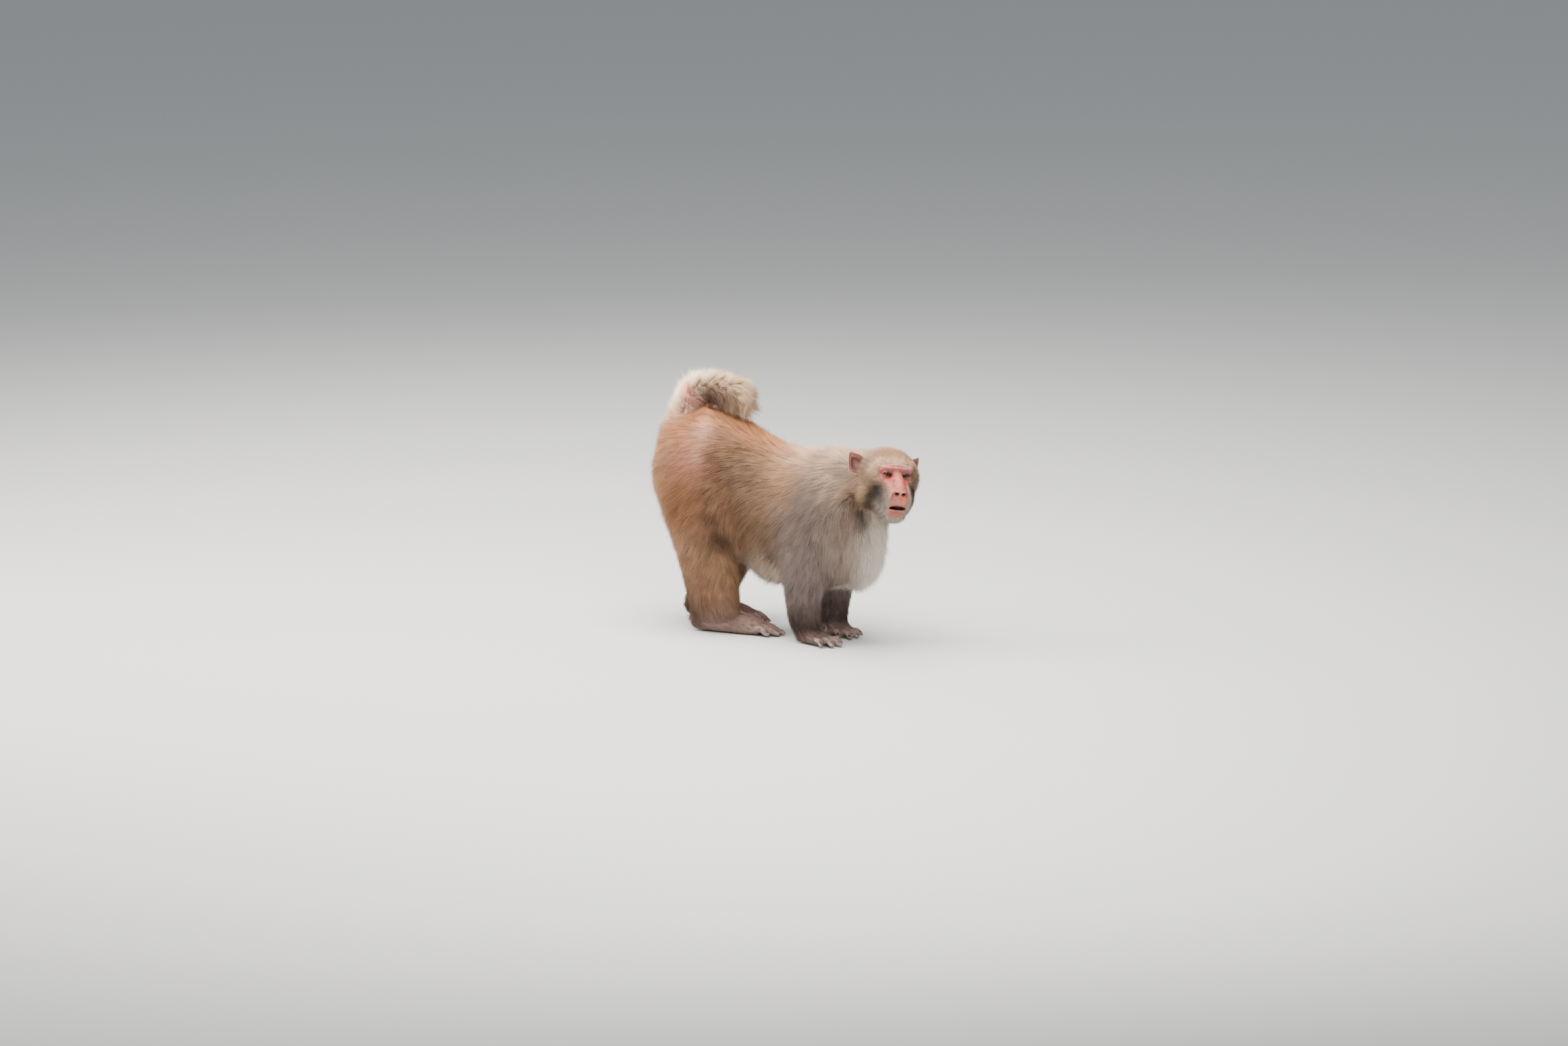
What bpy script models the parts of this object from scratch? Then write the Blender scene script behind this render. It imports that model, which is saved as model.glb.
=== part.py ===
# Rhesus macaque on all fours, life size: the solids of its body, out to the tips of the coat.
# Metres, +Z up. It faces -Y, its right side is at -X, and its palms and soles stand at z = 0.
# The trunk is bent a little to the right, the head looks to the right, the tail arches forward.
import math

import bmesh
import bpy
import numpy as np
from mathutils import Matrix, Vector

# ---------------------------------------------------------------- driving dimensions
GAP = 0.0003  # between neighbouring solids
BLEND_VOXEL = 0.0045  # trunk and limbs are fused at this size, then smoothed
FINE_VOXEL = 0.0024  # head, hands and feet are fused at this size
BLEND_PASSES = 14
FINE_PASSES = 2
BODY_TRIANGLES = 5200
FLAT_ANGLE = math.radians(0.1)  # faces this close to one plane are merged

RIGHT, LEFT = -1, 1
SIDES = {"right": RIGHT, "left": LEFT}

# Spine: where each section of the trunk sits, its half width, and the heights of back and belly.
TRUNK = {  # name: (x, y, back z, belly z, half width)
    "rump_end": (-0.020, 0.264, 0.350, 0.225, 0.036),
    "rump": (-0.014, 0.246, 0.382, 0.196, 0.058),
    "croup": (-0.008, 0.208, 0.396, 0.184, 0.073),
    "hips": (0.000, 0.160, 0.398, 0.170, 0.078),
    "loin": (0.006, 0.108, 0.390, 0.132, 0.076),
    "waist": (0.008, 0.068, 0.370, 0.104, 0.077),
    "belly": (0.008, 0.020, 0.349, 0.088, 0.082),
    "ribs": (0.006, -0.040, 0.340, 0.086, 0.086),
    "withers": (0.000, -0.095, 0.350, 0.090, 0.084),
    "shoulders": (-0.004, -0.140, 0.352, 0.096, 0.078),
    "breast": (-0.006, -0.180, 0.334, 0.100, 0.066),
    "breast_end": (-0.006, -0.207, 0.300, 0.118, 0.042),
}
NECK = {  # name: (x, y, z, half width, reach up, reach down)
    "nape": (-0.004, -0.095, 0.296, 0.064, 0.060, 0.100),
    "throat": (-0.008, -0.155, 0.302, 0.060, 0.055, 0.096),
    "jaw_root": (-0.014, -0.200, 0.312, 0.046, 0.048, 0.080),
    "skull_base": (-0.024, -0.235, 0.322, 0.042, 0.040, 0.060),
}
TAIL = {  # name: (x, y, z, half width, half height)
    "inside": (-0.010, 0.218, 0.362, 0.036, 0.034),
    "root": (-0.009, 0.213, 0.398, 0.031, 0.031),
    "rise": (-0.006, 0.200, 0.422, 0.028, 0.030),
    "arch": (-0.003, 0.166, 0.4345, 0.027, 0.0335),
    "fall": (0.002, 0.124, 0.4320, 0.027, 0.0320),
    "tuft": (0.007, 0.088, 0.4240, 0.026, 0.0290),
    "tip": (0.010, 0.072, 0.4190, 0.020, 0.0220),
}
# Limbs: section centres for each side, and their fore-aft and sideways radii.
FORE = {
    "shoulder_blade": {"right": (-0.040, -0.098, 0.318), "left": (0.036, -0.100, 0.318)},
    "shoulder": {"right": (-0.064, -0.134, 0.268), "left": (0.058, -0.146, 0.268)},
    "upper_arm": {"right": (-0.070, -0.116, 0.218), "left": (0.068, -0.118, 0.218)},
    "elbow": {"right": (-0.068, -0.090, 0.160), "left": (0.072, -0.080, 0.158)},
    "forearm": {"right": (-0.062, -0.080, 0.098), "left": (0.062, -0.070, 0.098)},
    "wrist": {"right": (-0.055, -0.080, 0.042), "left": (0.048, -0.066, 0.042)},
    "carpus": {"right": (-0.054, -0.086, 0.018), "left": (0.047, -0.070, 0.018)},
}
FORE_RADII = {
    "shoulder_blade": (0.044, 0.026),
    "shoulder": (0.058, 0.034),
    "upper_arm": (0.064, 0.036),
    "elbow": (0.052, 0.035),
    "forearm": (0.040, 0.032),
    "wrist": (0.032, 0.028),
    "carpus": (0.029, 0.024),
}
HIND = {
    "haunch": {"right": (-0.034, 0.190, 0.340), "left": (0.030, 0.205, 0.340)},
    "hip": {"right": (-0.052, 0.176, 0.290), "left": (0.048, 0.194, 0.290)},
    "thigh": {"right": (-0.074, 0.148, 0.226), "left": (0.066, 0.180, 0.226)},
    "knee": {"right": (-0.082, 0.130, 0.172), "left": (0.070, 0.166, 0.172)},
    "calf": {"right": (-0.078, 0.114, 0.125), "left": (0.064, 0.172, 0.125)},
    "shin": {"right": (-0.070, 0.113, 0.090), "left": (0.056, 0.184, 0.090)},
    "ankle": {"right": (-0.062, 0.112, 0.050), "left": (0.049, 0.200, 0.050)},
    "hock": {"right": (-0.058, 0.118, 0.018), "left": (0.047, 0.208, 0.018)},
}
HIND_RADII = {
    "haunch": (0.062, 0.032),
    "hip": (0.076, 0.044),
    "thigh": (0.076, 0.046),
    "knee": (0.062, 0.044),
    "calf": (0.062, 0.041),
    "shin": (0.059, 0.039),
    "ankle": (0.050, 0.035),
    "hock": (0.046, 0.028),
}
HAND = {"length": 0.094, "width": 0.042, "turn": {"right": -8, "left": -24}}
FOOT = {"length": 0.178, "width": 0.042, "turn": {"right": 12, "left": 2}}

# Head, in its own frame: forward, left, up from the middle of the ears' axis.
HEAD_AT = Vector((-0.028, -0.2425, 0.331))
HEAD_YAW, HEAD_ROLL, HEAD_PITCH = 40.0, 7.5, 0.0  # degrees: to the right, left side down, nose down
MOUTH_SIZE = (0.014, 0.0155, 0.0028)  # half sizes of the slit between the lips
EYE_AT = (0.0480, 0.0172, -0.0060)
EYE_RADIUS = 0.0093
MOUTH_AT = (0.0900, 0.0, -0.0610)

# Where the limbs part from the trunk: height, distance of the parting face from the middle of the
# body, and half length fore and aft.
PARTING = {
    "fore": [(0.352, 0.092, 0.030), (0.325, 0.070, 0.046), (0.295, 0.058, 0.058), (0.268, 0.051, 0.065),
             (0.218, 0.045, 0.070), (0.160, 0.037, 0.059), (0.110, 0.026, 0.054), (0.070, 0.014, 0.052)],
    "hind": [(0.374, 0.088, 0.040), (0.345, 0.066, 0.070), (0.310, 0.052, 0.092), (0.270, 0.043, 0.100),
             (0.226, 0.034, 0.094), (0.172, 0.020, 0.080), (0.125, 0.012, 0.074), (0.078, 0.006, 0.074)],
}
JOINTS = {"elbow": 0.150, "wrist": 0.046, "knee": 0.164, "ankle": 0.047}  # heights of the level cuts

COAT = {  # material: (colour, roughness)
    "coat_grey": ((0.42, 0.34, 0.26), 0.8),
    "coat_gold": ((0.50, 0.33, 0.17), 0.8),
    "coat_pale": ((0.66, 0.58, 0.50), 0.8),
    "face_skin": ((0.72, 0.42, 0.36), 0.55),
    "hand_skin": ((0.30, 0.24, 0.21), 0.6),
    "eye": ((0.20, 0.13, 0.05), 0.1),
}


# ---------------------------------------------------------------- shared tools
def clear_scene():
    for thing in list(bpy.data.objects):
        bpy.data.objects.remove(thing)


def add_object(name, mesh):
    made = bpy.data.objects.new(name, mesh)
    bpy.context.scene.collection.objects.link(made)
    return made


def spline(points, count):
    """Catmull-Rom through rows of numbers, so that positions and radii change smoothly together."""
    rows = np.array(points, float)
    ends = np.vstack([2 * rows[0] - rows[1], rows, 2 * rows[-1] - rows[-2]])
    out = []
    for t in np.linspace(0, len(rows) - 1, count):
        i = min(int(t), len(rows) - 2)
        f = t - i
        a, b, c, d = ends[i : i + 4]
        out.append(
            0.5 * (2 * b + (c - a) * f + (2 * a - 5 * b + 4 * c - d) * f**2
                   + (3 * b - a - 3 * c + d) * f**3)
        )
    return np.array(out)


def loft(name, centres, wide, high, low=None, across=None, up=None, sides=28, power=2.0):
    """A closed tube through the centres. wide and high are the half sizes of each ring across and
    up, low the half size downwards where that differs. The rings stand square to the path unless
    both across and up are given. power above 2 squares the rings."""
    centres = np.array(centres, float)
    low = high if low is None else low
    ahead = np.gradient(centres, axis=0)
    mesh = bpy.data.meshes.new(name)
    made = bmesh.new()
    rings = []
    for centre, step, w, h, d in zip(centres, ahead, wide, high, low):
        along = Vector(step).normalized()
        level = Vector(across) if across else Vector((step[1], -step[0], 0.0)).normalized()
        if up:
            side, rise = level, Vector(up)
        else:
            side = (level - along * level.dot(along)).normalized()
            rise = side.cross(along)
            rise = rise if rise.z >= 0 else -rise
        ring = []
        for k in range(sides):
            turn = 2 * math.pi * k / sides
            c, s = math.cos(turn), math.sin(turn)
            c = math.copysign(abs(c) ** (2 / power), c)
            s = math.copysign(abs(s) ** (2 / power), s)
            tall = h if s >= 0 else d
            ring.append(made.verts.new(Vector(centre) + side * (w * c) + rise * (tall * s)))
        rings.append(ring)
    for one, two in zip(rings, rings[1:]):
        for k in range(sides):
            made.faces.new((one[k], one[(k + 1) % sides], two[(k + 1) % sides], two[k]))
    for ring, step, centre in ((rings[0], -ahead[0], centres[0]), (rings[-1], ahead[-1], centres[-1])):
        tip = made.verts.new(Vector(centre) + Vector(step) * 0.6)  # a blunt end, not a flat one
        for k in range(sides):
            made.faces.new((ring[k], ring[(k + 1) % sides], tip))
    bmesh.ops.recalc_face_normals(made, faces=made.faces)
    made.to_mesh(mesh)
    made.free()
    return add_object(name, mesh)


def ball(name, centre, radii, detail=3):
    mesh = bpy.data.meshes.new(name)
    made = bmesh.new()
    bmesh.ops.create_icosphere(made, subdivisions=detail, radius=1.0)
    bmesh.ops.scale(made, vec=Vector(radii), verts=made.verts)
    bmesh.ops.translate(made, vec=Vector(centre), verts=made.verts)
    made.to_mesh(mesh)
    made.free()
    return add_object(name, mesh)


def evaluated(thing):
    """thing with its modifiers applied to its own mesh."""
    graph = bpy.context.evaluated_depsgraph_get()
    mesh = bpy.data.meshes.new_from_object(thing.evaluated_get(graph), depsgraph=graph)
    thing.modifiers.clear()
    old, thing.data = thing.data, mesh
    bpy.data.meshes.remove(old)
    return thing


def join(name, things):
    mesh = bpy.data.meshes.new(name)
    made = bmesh.new()
    for thing in things:
        made.from_mesh(thing.data)
        bpy.data.objects.remove(thing)
    made.to_mesh(mesh)
    made.free()
    return add_object(name, mesh)


def fuse(name, things, voxel, passes):
    """Overlapping shapes as one skin: joined, remeshed, then smoothed so that they flow together."""
    whole = join(name, things)
    remesh = whole.modifiers.new("fuse", "REMESH")
    remesh.mode = "VOXEL"
    remesh.voxel_size = voxel
    smooth = whole.modifiers.new("flow", "SMOOTH")
    smooth.factor = 0.5
    smooth.iterations = passes
    return evaluated(whole)


def boolean(thing, tool, operation="DIFFERENCE", keep=False):
    cut = thing.modifiers.new("cut", "BOOLEAN")
    cut.operation = operation
    cut.solver = "EXACT"
    cut.object = tool
    evaluated(thing)
    if not keep:
        bpy.data.objects.remove(tool)
    return thing


def slice_at(centre, normal, radius):
    """A thin disc that parts two neighbours where it stands."""
    mesh = bpy.data.meshes.new("slice")
    made = bmesh.new()
    bmesh.ops.create_cone(
        made, cap_ends=True, segments=24, radius1=radius, radius2=radius, depth=GAP
    )
    turn = Vector(normal).to_track_quat("Z", "Y").to_matrix().to_4x4()
    made.transform(Matrix.Translation(Vector(centre)) @ turn)
    made.to_mesh(mesh)
    made.free()
    return add_object("slice", mesh)


def sleeve(limb, side):
    """A thin open tube round a limb; its inner wall parts the limb from the trunk."""
    joints = FORE if limb == "fore" else HIND
    heights = [joints[j][side][2] for j in joints][::-1]
    middles = [joints[j][side][1] for j in joints][::-1]
    rows = spline(PARTING[limb], 10)
    made = bmesh.new()
    rings = []
    for z, inner, reach in rows:
        y = float(np.interp(z, heights, middles))
        wide = (0.16 - inner) / 2
        ring = []
        for k in range(16):
            c, s = math.cos(math.pi * k / 8), math.sin(math.pi * k / 8)
            x = inner + wide + math.copysign(abs(c) ** 0.8, c) * wide
            ring.append(made.verts.new((SIDES[side] * x, y + math.copysign(abs(s) ** 0.8, s) * reach, z)))
        rings.append(ring)
    for one, two in zip(rings, rings[1:]):
        for k in range(16):
            made.faces.new((one[k], one[(k + 1) % 16], two[(k + 1) % 16], two[k]))
    bmesh.ops.recalc_face_normals(made, faces=made.faces)
    bmesh.ops.triangulate(made, faces=made.faces)  # so that both faces of the wall fold alike
    mesh = bpy.data.meshes.new("sleeve")
    made.to_mesh(mesh)
    made.free()
    thing = add_object("sleeve", mesh)
    wall = thing.modifiers.new("wall", "SOLIDIFY")
    wall.thickness = GAP * 2
    wall.offset = 0.0
    return evaluated(thing)


def islands(mesh):
    """The loose pieces of a mesh, as lists of faces."""
    left, found = set(mesh.faces), []
    while left:
        seed = left.pop()
        piece, border = [seed], [seed]
        while border:
            face = border.pop()
            for edge in face.edges:
                for other in edge.link_faces:
                    if other in left:
                        left.discard(other)
                        piece.append(other)
                        border.append(other)
        found.append(piece)
    return found


def take_off(name, thing, cutter, seed):
    """Cut thing with cutter and move the loose piece nearest to seed into an object of its own."""
    boolean(thing, cutter)
    whole = bmesh.new()
    whole.from_mesh(thing.data)
    pieces = islands(whole)
    if len(pieces) < 2:
        raise RuntimeError(f"{name} is not parted from its neighbour")
    seed = Vector(seed)
    nearest = min(pieces, key=lambda p: min((v.co - seed).length for f in p for v in f.verts))
    part = whole.copy()
    chosen = {f.index for f in nearest}
    part.faces.ensure_lookup_table()
    bmesh.ops.delete(part, geom=[f for f in part.faces if f.index not in chosen], context="FACES")
    bmesh.ops.delete(whole, geom=nearest, context="FACES")
    mesh = bpy.data.meshes.new(name)
    part.to_mesh(mesh)
    whole.to_mesh(thing.data)
    part.free()
    whole.free()
    return add_object(name, mesh)


def clear_of(thing, neighbours):
    """Trim thing back so that it stays GAP away from the neighbours it would touch."""
    for neighbour in neighbours:
        grown = add_object("grown", neighbour.data.copy())
        push = grown.modifiers.new("push", "DISPLACE")
        push.strength = GAP * 1.4
        push.mid_level = 0.0
        boolean(thing, evaluated(grown))
    keep_largest(thing)
    return thing


def keep_largest(thing):
    """Drop the slivers that a cut leaves beside the solid itself."""
    whole = bmesh.new()
    whole.from_mesh(thing.data)
    pieces = sorted(islands(whole), key=lambda p: sum(f.calc_area() for f in p))
    for piece in pieces[:-1]:
        bmesh.ops.delete(whole, geom=piece, context="FACES")
    whole.to_mesh(thing.data)
    whole.free()


def merge_flat(thing):
    """Merge the small triangles that a cut leaves on nearly flat ground."""
    whole = bmesh.new()
    whole.from_mesh(thing.data)
    bmesh.ops.dissolve_limit(whole, angle_limit=FLAT_ANGLE, verts=whole.verts, edges=whole.edges)
    bmesh.ops.triangulate(whole, faces=whole.faces, quad_method="BEAUTY", ngon_method="BEAUTY")
    whole.to_mesh(thing.data)
    whole.free()


# ---------------------------------------------------------------- trunk, neck and tail
def trunk():
    rows = spline([(x, y, (top + low) / 2, w, (top - low) / 2) for x, y, top, low, w in TRUNK.values()], 44)
    return loft("trunk", rows[:, :3], rows[:, 3], rows[:, 4], up=(0.0, 0.0, 1.0), power=2.1)


def neck():
    rows = spline(list(NECK.values()), 14)
    return loft("neck", rows[:, :3], rows[:, 3], rows[:, 4], low=rows[:, 5])


def tail():
    rows = spline(list(TAIL.values()), 30)
    return loft("tail", rows[:, :3], rows[:, 3], rows[:, 4], across=(1.0, 0.12, 0.0))


# ---------------------------------------------------------------- limbs
def limb(name, joints, radii, side):
    rows = spline([(*joints[j][side], *radii[j]) for j in joints], 34)
    return loft(
        f"{name}_{side}", rows[:, :3], rows[:, 4], rows[:, 3], across=(1.0, 0.0, 0.0), up=(0.0, 1.0, 0.0)
    )


def ground_frame(centre, turn):
    """A frame on the floor that points forward along -Y, turned by degrees towards +X."""
    angle = math.radians(turn)
    ahead = Vector((math.sin(angle), -math.cos(angle), 0.0))
    out = Vector((math.cos(angle), math.sin(angle), 0.0))
    return Vector((centre[0], centre[1], 0.0)), ahead, out


def digit(name, frame, root, tip, arch, radius):
    """One finger or toe: root, raised middle joint and tip, as (ahead, out, up) in its frame."""
    origin, ahead, out = frame
    at = lambda a, o, u: origin + ahead * a + out * o + Vector((0, 0, u))
    middle = [root[i] + (tip[i] - root[i]) * 0.45 for i in range(2)]
    last = [root[i] + (tip[i] - root[i]) * 0.78 for i in range(2)]
    points = [
        (*at(*root), radius * 1.15),
        (*at(*middle, arch), radius),
        (*at(*last, radius * 1.05), radius * 0.95),
        (*at(*tip), radius * 0.72),
    ]
    rows = spline(points, 12)
    return loft(name, rows[:, :3], rows[:, 3], rows[:, 3], sides=12)


def hand(side):
    """Palm, four fingers and a short thumb on the inner side, pressed flat on the floor."""
    mirror = SIDES[side]
    frame = ground_frame(FORE["wrist"][side], HAND["turn"][side])
    origin, ahead, out = frame
    length, width = HAND["length"], HAND["width"]
    palm = [(-0.016, 0.013, 0.66), (0.004, 0.018, 0.88), (0.022, 0.014, 1.0), (0.040, 0.010, 1.0), (0.052, 0.008, 0.94)]
    rows = spline([(*(origin + ahead * a), h, width * share / 2) for a, h, share in palm], 14)
    centres = rows[:, :3].copy()
    centres[:, 2] = rows[:, 3]
    parts = [loft(f"palm_{side}", centres, rows[:, 4], rows[:, 3] * 1.15, low=rows[:, 3] * 1.2, sides=20)]
    fingers = {"index": (-0.36, 0.84), "middle": (-0.12, 1.0), "ring": (0.13, 0.96), "little": (0.37, 0.80)}
    for name, (place, reach) in fingers.items():
        # the index finger lies on the inner side, towards the other hand
        across = mirror * place * width
        root = (0.046, across, 0.010)
        tip = (length * reach - 0.010, across * 1.75, 0.0045)
        parts.append(digit(f"{name}_{side}", frame, root, tip, 0.0125, 0.0056))
    thumb_root, thumb_tip = (0.012, -mirror * width * 0.36, 0.011), (0.036, -mirror * width * 0.92, 0.005)
    parts.append(digit(f"thumb_{side}", frame, thumb_root, thumb_tip, 0.009, 0.0054))
    return parts


def foot(side):
    """Heel, long sole, four toes and a big toe set off to the inner side."""
    mirror = SIDES[side]
    heel = HIND["hock"][side]
    frame = ground_frame(heel, FOOT["turn"][side])
    origin, ahead, out = frame
    length, width = FOOT["length"], FOOT["width"]
    sole = [(-0.042, 0.012, 0.60), (-0.030, 0.018, 0.82), (-0.008, 0.021, 0.90), (0.022, 0.0195, 0.94),
            (0.052, 0.0170, 1.0), (0.080, 0.0140, 1.0), (0.096, 0.0100, 0.92)]
    rows = spline([(*(origin + ahead * a), h, width * share / 2) for a, h, share in sole], 18)
    centres = rows[:, :3].copy()
    centres[:, 2] = rows[:, 3]
    parts = [loft(f"sole_{side}", centres, rows[:, 4], rows[:, 3] * 1.2, low=rows[:, 3] * 1.2, sides=20)]
    toes = {"second": (-0.34, 0.90), "third": (-0.11, 1.0), "fourth": (0.13, 0.97), "fifth": (0.36, 0.86)}
    for name, (place, reach) in toes.items():
        across = mirror * place * width
        root = (0.086, across, 0.012)
        tip = ((length - 0.040) * reach, across * 1.5, 0.0048)
        parts.append(digit(f"{name}_{side}", frame, root, tip, 0.014, 0.0062))
    big_root, big_tip = (0.036, -mirror * width * 0.34, 0.012), (0.086, -mirror * width * 0.95, 0.0055)
    parts.append(digit(f"big_toe_{side}", frame, big_root, big_tip, 0.011, 0.0066))
    return parts


# ---------------------------------------------------------------- head
def head_matrix():
    """Columns forward, left, up in the world, at the middle of the ears' axis."""
    yaw, roll, pitch = (math.radians(v) for v in (HEAD_YAW, HEAD_ROLL, HEAD_PITCH))
    ahead = Vector((-math.sin(yaw) * math.cos(pitch), -math.cos(yaw) * math.cos(pitch), -math.sin(pitch)))
    left = Vector((math.cos(yaw), -math.sin(yaw), 0.0))
    up = ahead.cross(left)
    left, up = left * math.cos(roll) - up * math.sin(roll), up * math.cos(roll) + left * math.sin(roll)
    frame = Matrix((ahead, left, up)).transposed().to_4x4()
    return Matrix.Translation(HEAD_AT) @ frame


def head_ball(name, centre, radii):
    made = ball(name, centre, radii)
    made.data.transform(head_matrix())
    return made


def head_loft(name, stations, power=2.0):
    """stations are (forward, up, half width, half height) along the middle of the head."""
    rows = spline(stations, 16)
    centres = np.stack([rows[:, 0], np.zeros(len(rows)), rows[:, 1]], 1)
    made = loft(name, centres, rows[:, 2], rows[:, 3], across=(0, 1, 0), power=power)
    made.data.transform(head_matrix())
    return made


def head_shapes():
    parts = [
        head_ball("cranium", (-0.012, 0, -0.003), (0.064, 0.053, 0.040)),
        head_ball("forehead", (0.024, 0, 0.004), (0.036, 0.044, 0.028)),
        head_ball("brow", (0.050, 0, 0.0095), (0.0125, 0.034, 0.0085)),
        head_loft("muzzle", [(0.030, -0.030, 0.034, 0.026), (0.056, -0.036, 0.029, 0.024),
                             (0.078, -0.044, 0.0245, 0.021), (0.090, -0.048, 0.0205, 0.018)], power=2.4),
        head_loft("nose", [(0.050, -0.004, 0.010, 0.010), (0.068, -0.014, 0.0095, 0.010),
                           (0.086, -0.026, 0.0095, 0.009), (0.0935, -0.031, 0.0095, 0.007)]),
        head_loft("jaw", [(-0.010, -0.052, 0.044, 0.026), (0.030, -0.066, 0.036, 0.024),
                          (0.062, -0.073, 0.026, 0.019), (0.080, -0.0745, 0.0180, 0.0145)], power=2.2),
    ]
    for side in SIDES.values():
        parts.append(head_ball("temple", (0.016, 0.028 * side, -0.018), (0.034, 0.029, 0.038)))
        parts.append(head_ball("ruff", (-0.006, 0.030 * side, -0.048), (0.040, 0.028, 0.036)))
        parts.append(head_ball("cheek", (0.040, 0.021 * side, -0.050), (0.034, 0.021, 0.030)))
        parts.append(head_ball("cheekbone", (0.044, 0.027 * side, -0.020), (0.014, 0.013, 0.011)))
        parts.append(head_ball("nose_wing", (0.0905, 0.0062 * side, -0.0325), (0.006, 0.0055, 0.005)))
    return parts


def ear(side):
    """A thin cupped shell with a blunt upper corner, set on the side of the head and turned out."""
    mirror = SIDES[side]
    made = bmesh.new()
    rings, spokes = 4, 16
    height, width, cup, thick = 0.0225, 0.0165, 0.0070, 0.0014
    layers = []
    for face in (1, -1):
        layer = []
        for i in range(rings + 1):
            share = i / rings
            ring = []
            for k in range(spokes):
                turn = 2 * math.pi * k / spokes
                corner = 1 + 0.16 * max(0.0, math.cos(turn - math.radians(62))) ** 4  # upper back corner
                across = width * share * corner * math.cos(turn)
                along = height * share * corner * math.sin(turn)
                deep = -cup * (1 - share**2) + face * thick * (1.15 if share > 0.8 else 0.9)
                ring.append(made.verts.new((across, deep, along)))
                if i == 0:
                    break
            layer.append(ring)
        layers.append(layer)
        for i in range(1, rings):
            for k in range(spokes):
                n = (k + 1) % spokes
                made.faces.new((layer[i][k], layer[i][n], layer[i + 1][n], layer[i + 1][k]))
        for k in range(spokes):
            made.faces.new((layer[0][0], layer[1][k], layer[1][(k + 1) % spokes]))
    for k in range(spokes):
        n = (k + 1) % spokes
        made.faces.new((layers[0][rings][k], layers[0][rings][n], layers[1][rings][n], layers[1][rings][k]))
    bmesh.ops.recalc_face_normals(made, faces=made.faces)
    # x runs from the front edge to the back edge, y is the hollow's outward normal, z is up
    splay = math.radians(38)
    back = Vector((-math.cos(splay), math.sin(splay), 0.0))
    outward = Vector((math.sin(splay), math.cos(splay), 0.0))
    frame = Matrix((back, outward, Vector((0, 0, 1)))).transposed().to_4x4()
    place = Matrix.Translation((-0.020, 0.0585, -0.005)) @ frame @ Matrix.Rotation(math.radians(8), 4, "Y")
    made.transform(place)
    if mirror == RIGHT:
        made.transform(Matrix.Scale(-1, 4, (0, 1, 0)))
        bmesh.ops.reverse_faces(made, faces=made.faces)
    made.transform(head_matrix())
    mesh = bpy.data.meshes.new(f"ear_{side}")
    made.to_mesh(mesh)
    made.free()
    return add_object(f"ear_{side}", mesh)


# ---------------------------------------------------------------- whole body
def body():
    broad = [trunk(), neck()]
    for side in SIDES:
        broad.append(limb("fore", FORE, FORE_RADII, side))
        broad.append(limb("hind", HIND, HIND_RADII, side))
    flesh = fuse("flesh", broad, BLEND_VOXEL, BLEND_PASSES)
    fine = [flesh, *head_shapes()]
    for side in SIDES:
        fine += hand(side) + foot(side)
    return fuse("body", fine, FINE_VOXEL, FINE_PASSES)


def flatten_soles(thing):
    """Everything under the floor is cut off, which leaves a flat on each palm, sole and finger."""
    mesh = bmesh.new()
    mesh.from_mesh(thing.data)
    cut = bmesh.ops.bisect_plane(
        mesh, geom=mesh.verts[:] + mesh.edges[:] + mesh.faces[:], plane_co=(0, 0, 0),
        plane_no=(0, 0, -1), clear_outer=True,
    )
    edges = [e for e in cut["geom_cut"] if isinstance(e, bmesh.types.BMEdge)]
    bmesh.ops.holes_fill(mesh, edges=edges, sides=0)
    bmesh.ops.recalc_face_normals(mesh, faces=mesh.faces)
    mesh.to_mesh(thing.data)
    mesh.free()
    return thing


def thin_out(thing, triangles):
    """Fewer triangles, spent first on the face, the hands and the feet."""
    inverse = head_matrix().inverted()
    group = thing.vertex_groups.new(name="plain")
    for vertex in thing.data.vertices:
        on_face = (inverse @ vertex.co).x > 0.02
        low_down = vertex.co.z < 0.030
        group.add([vertex.index], 0.86 if on_face else 0.92 if low_down else 1.0, "REPLACE")
    thing.data.calc_loop_triangles()
    decimate = thing.modifiers.new("thin", "DECIMATE")
    decimate.ratio = triangles / len(thing.data.loop_triangles)
    decimate.vertex_group = "plain"
    evaluated(thing)
    thing.vertex_groups.clear()
    return thing


def coat(thing, name):
    """One material per solid, in the colour of its part of the coat."""
    colour, roughness = COAT[name]
    made = bpy.data.materials.new(f"{name}_{thing.name}")
    made.use_nodes = True
    shader = made.node_tree.nodes["Principled BSDF"]
    shader.inputs["Base Color"].default_value = (*colour, 1.0)
    shader.inputs["Roughness"].default_value = roughness
    made.diffuse_color = (*colour, 1.0)
    thing.data.materials.clear()
    thing.data.materials.append(made)


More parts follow.
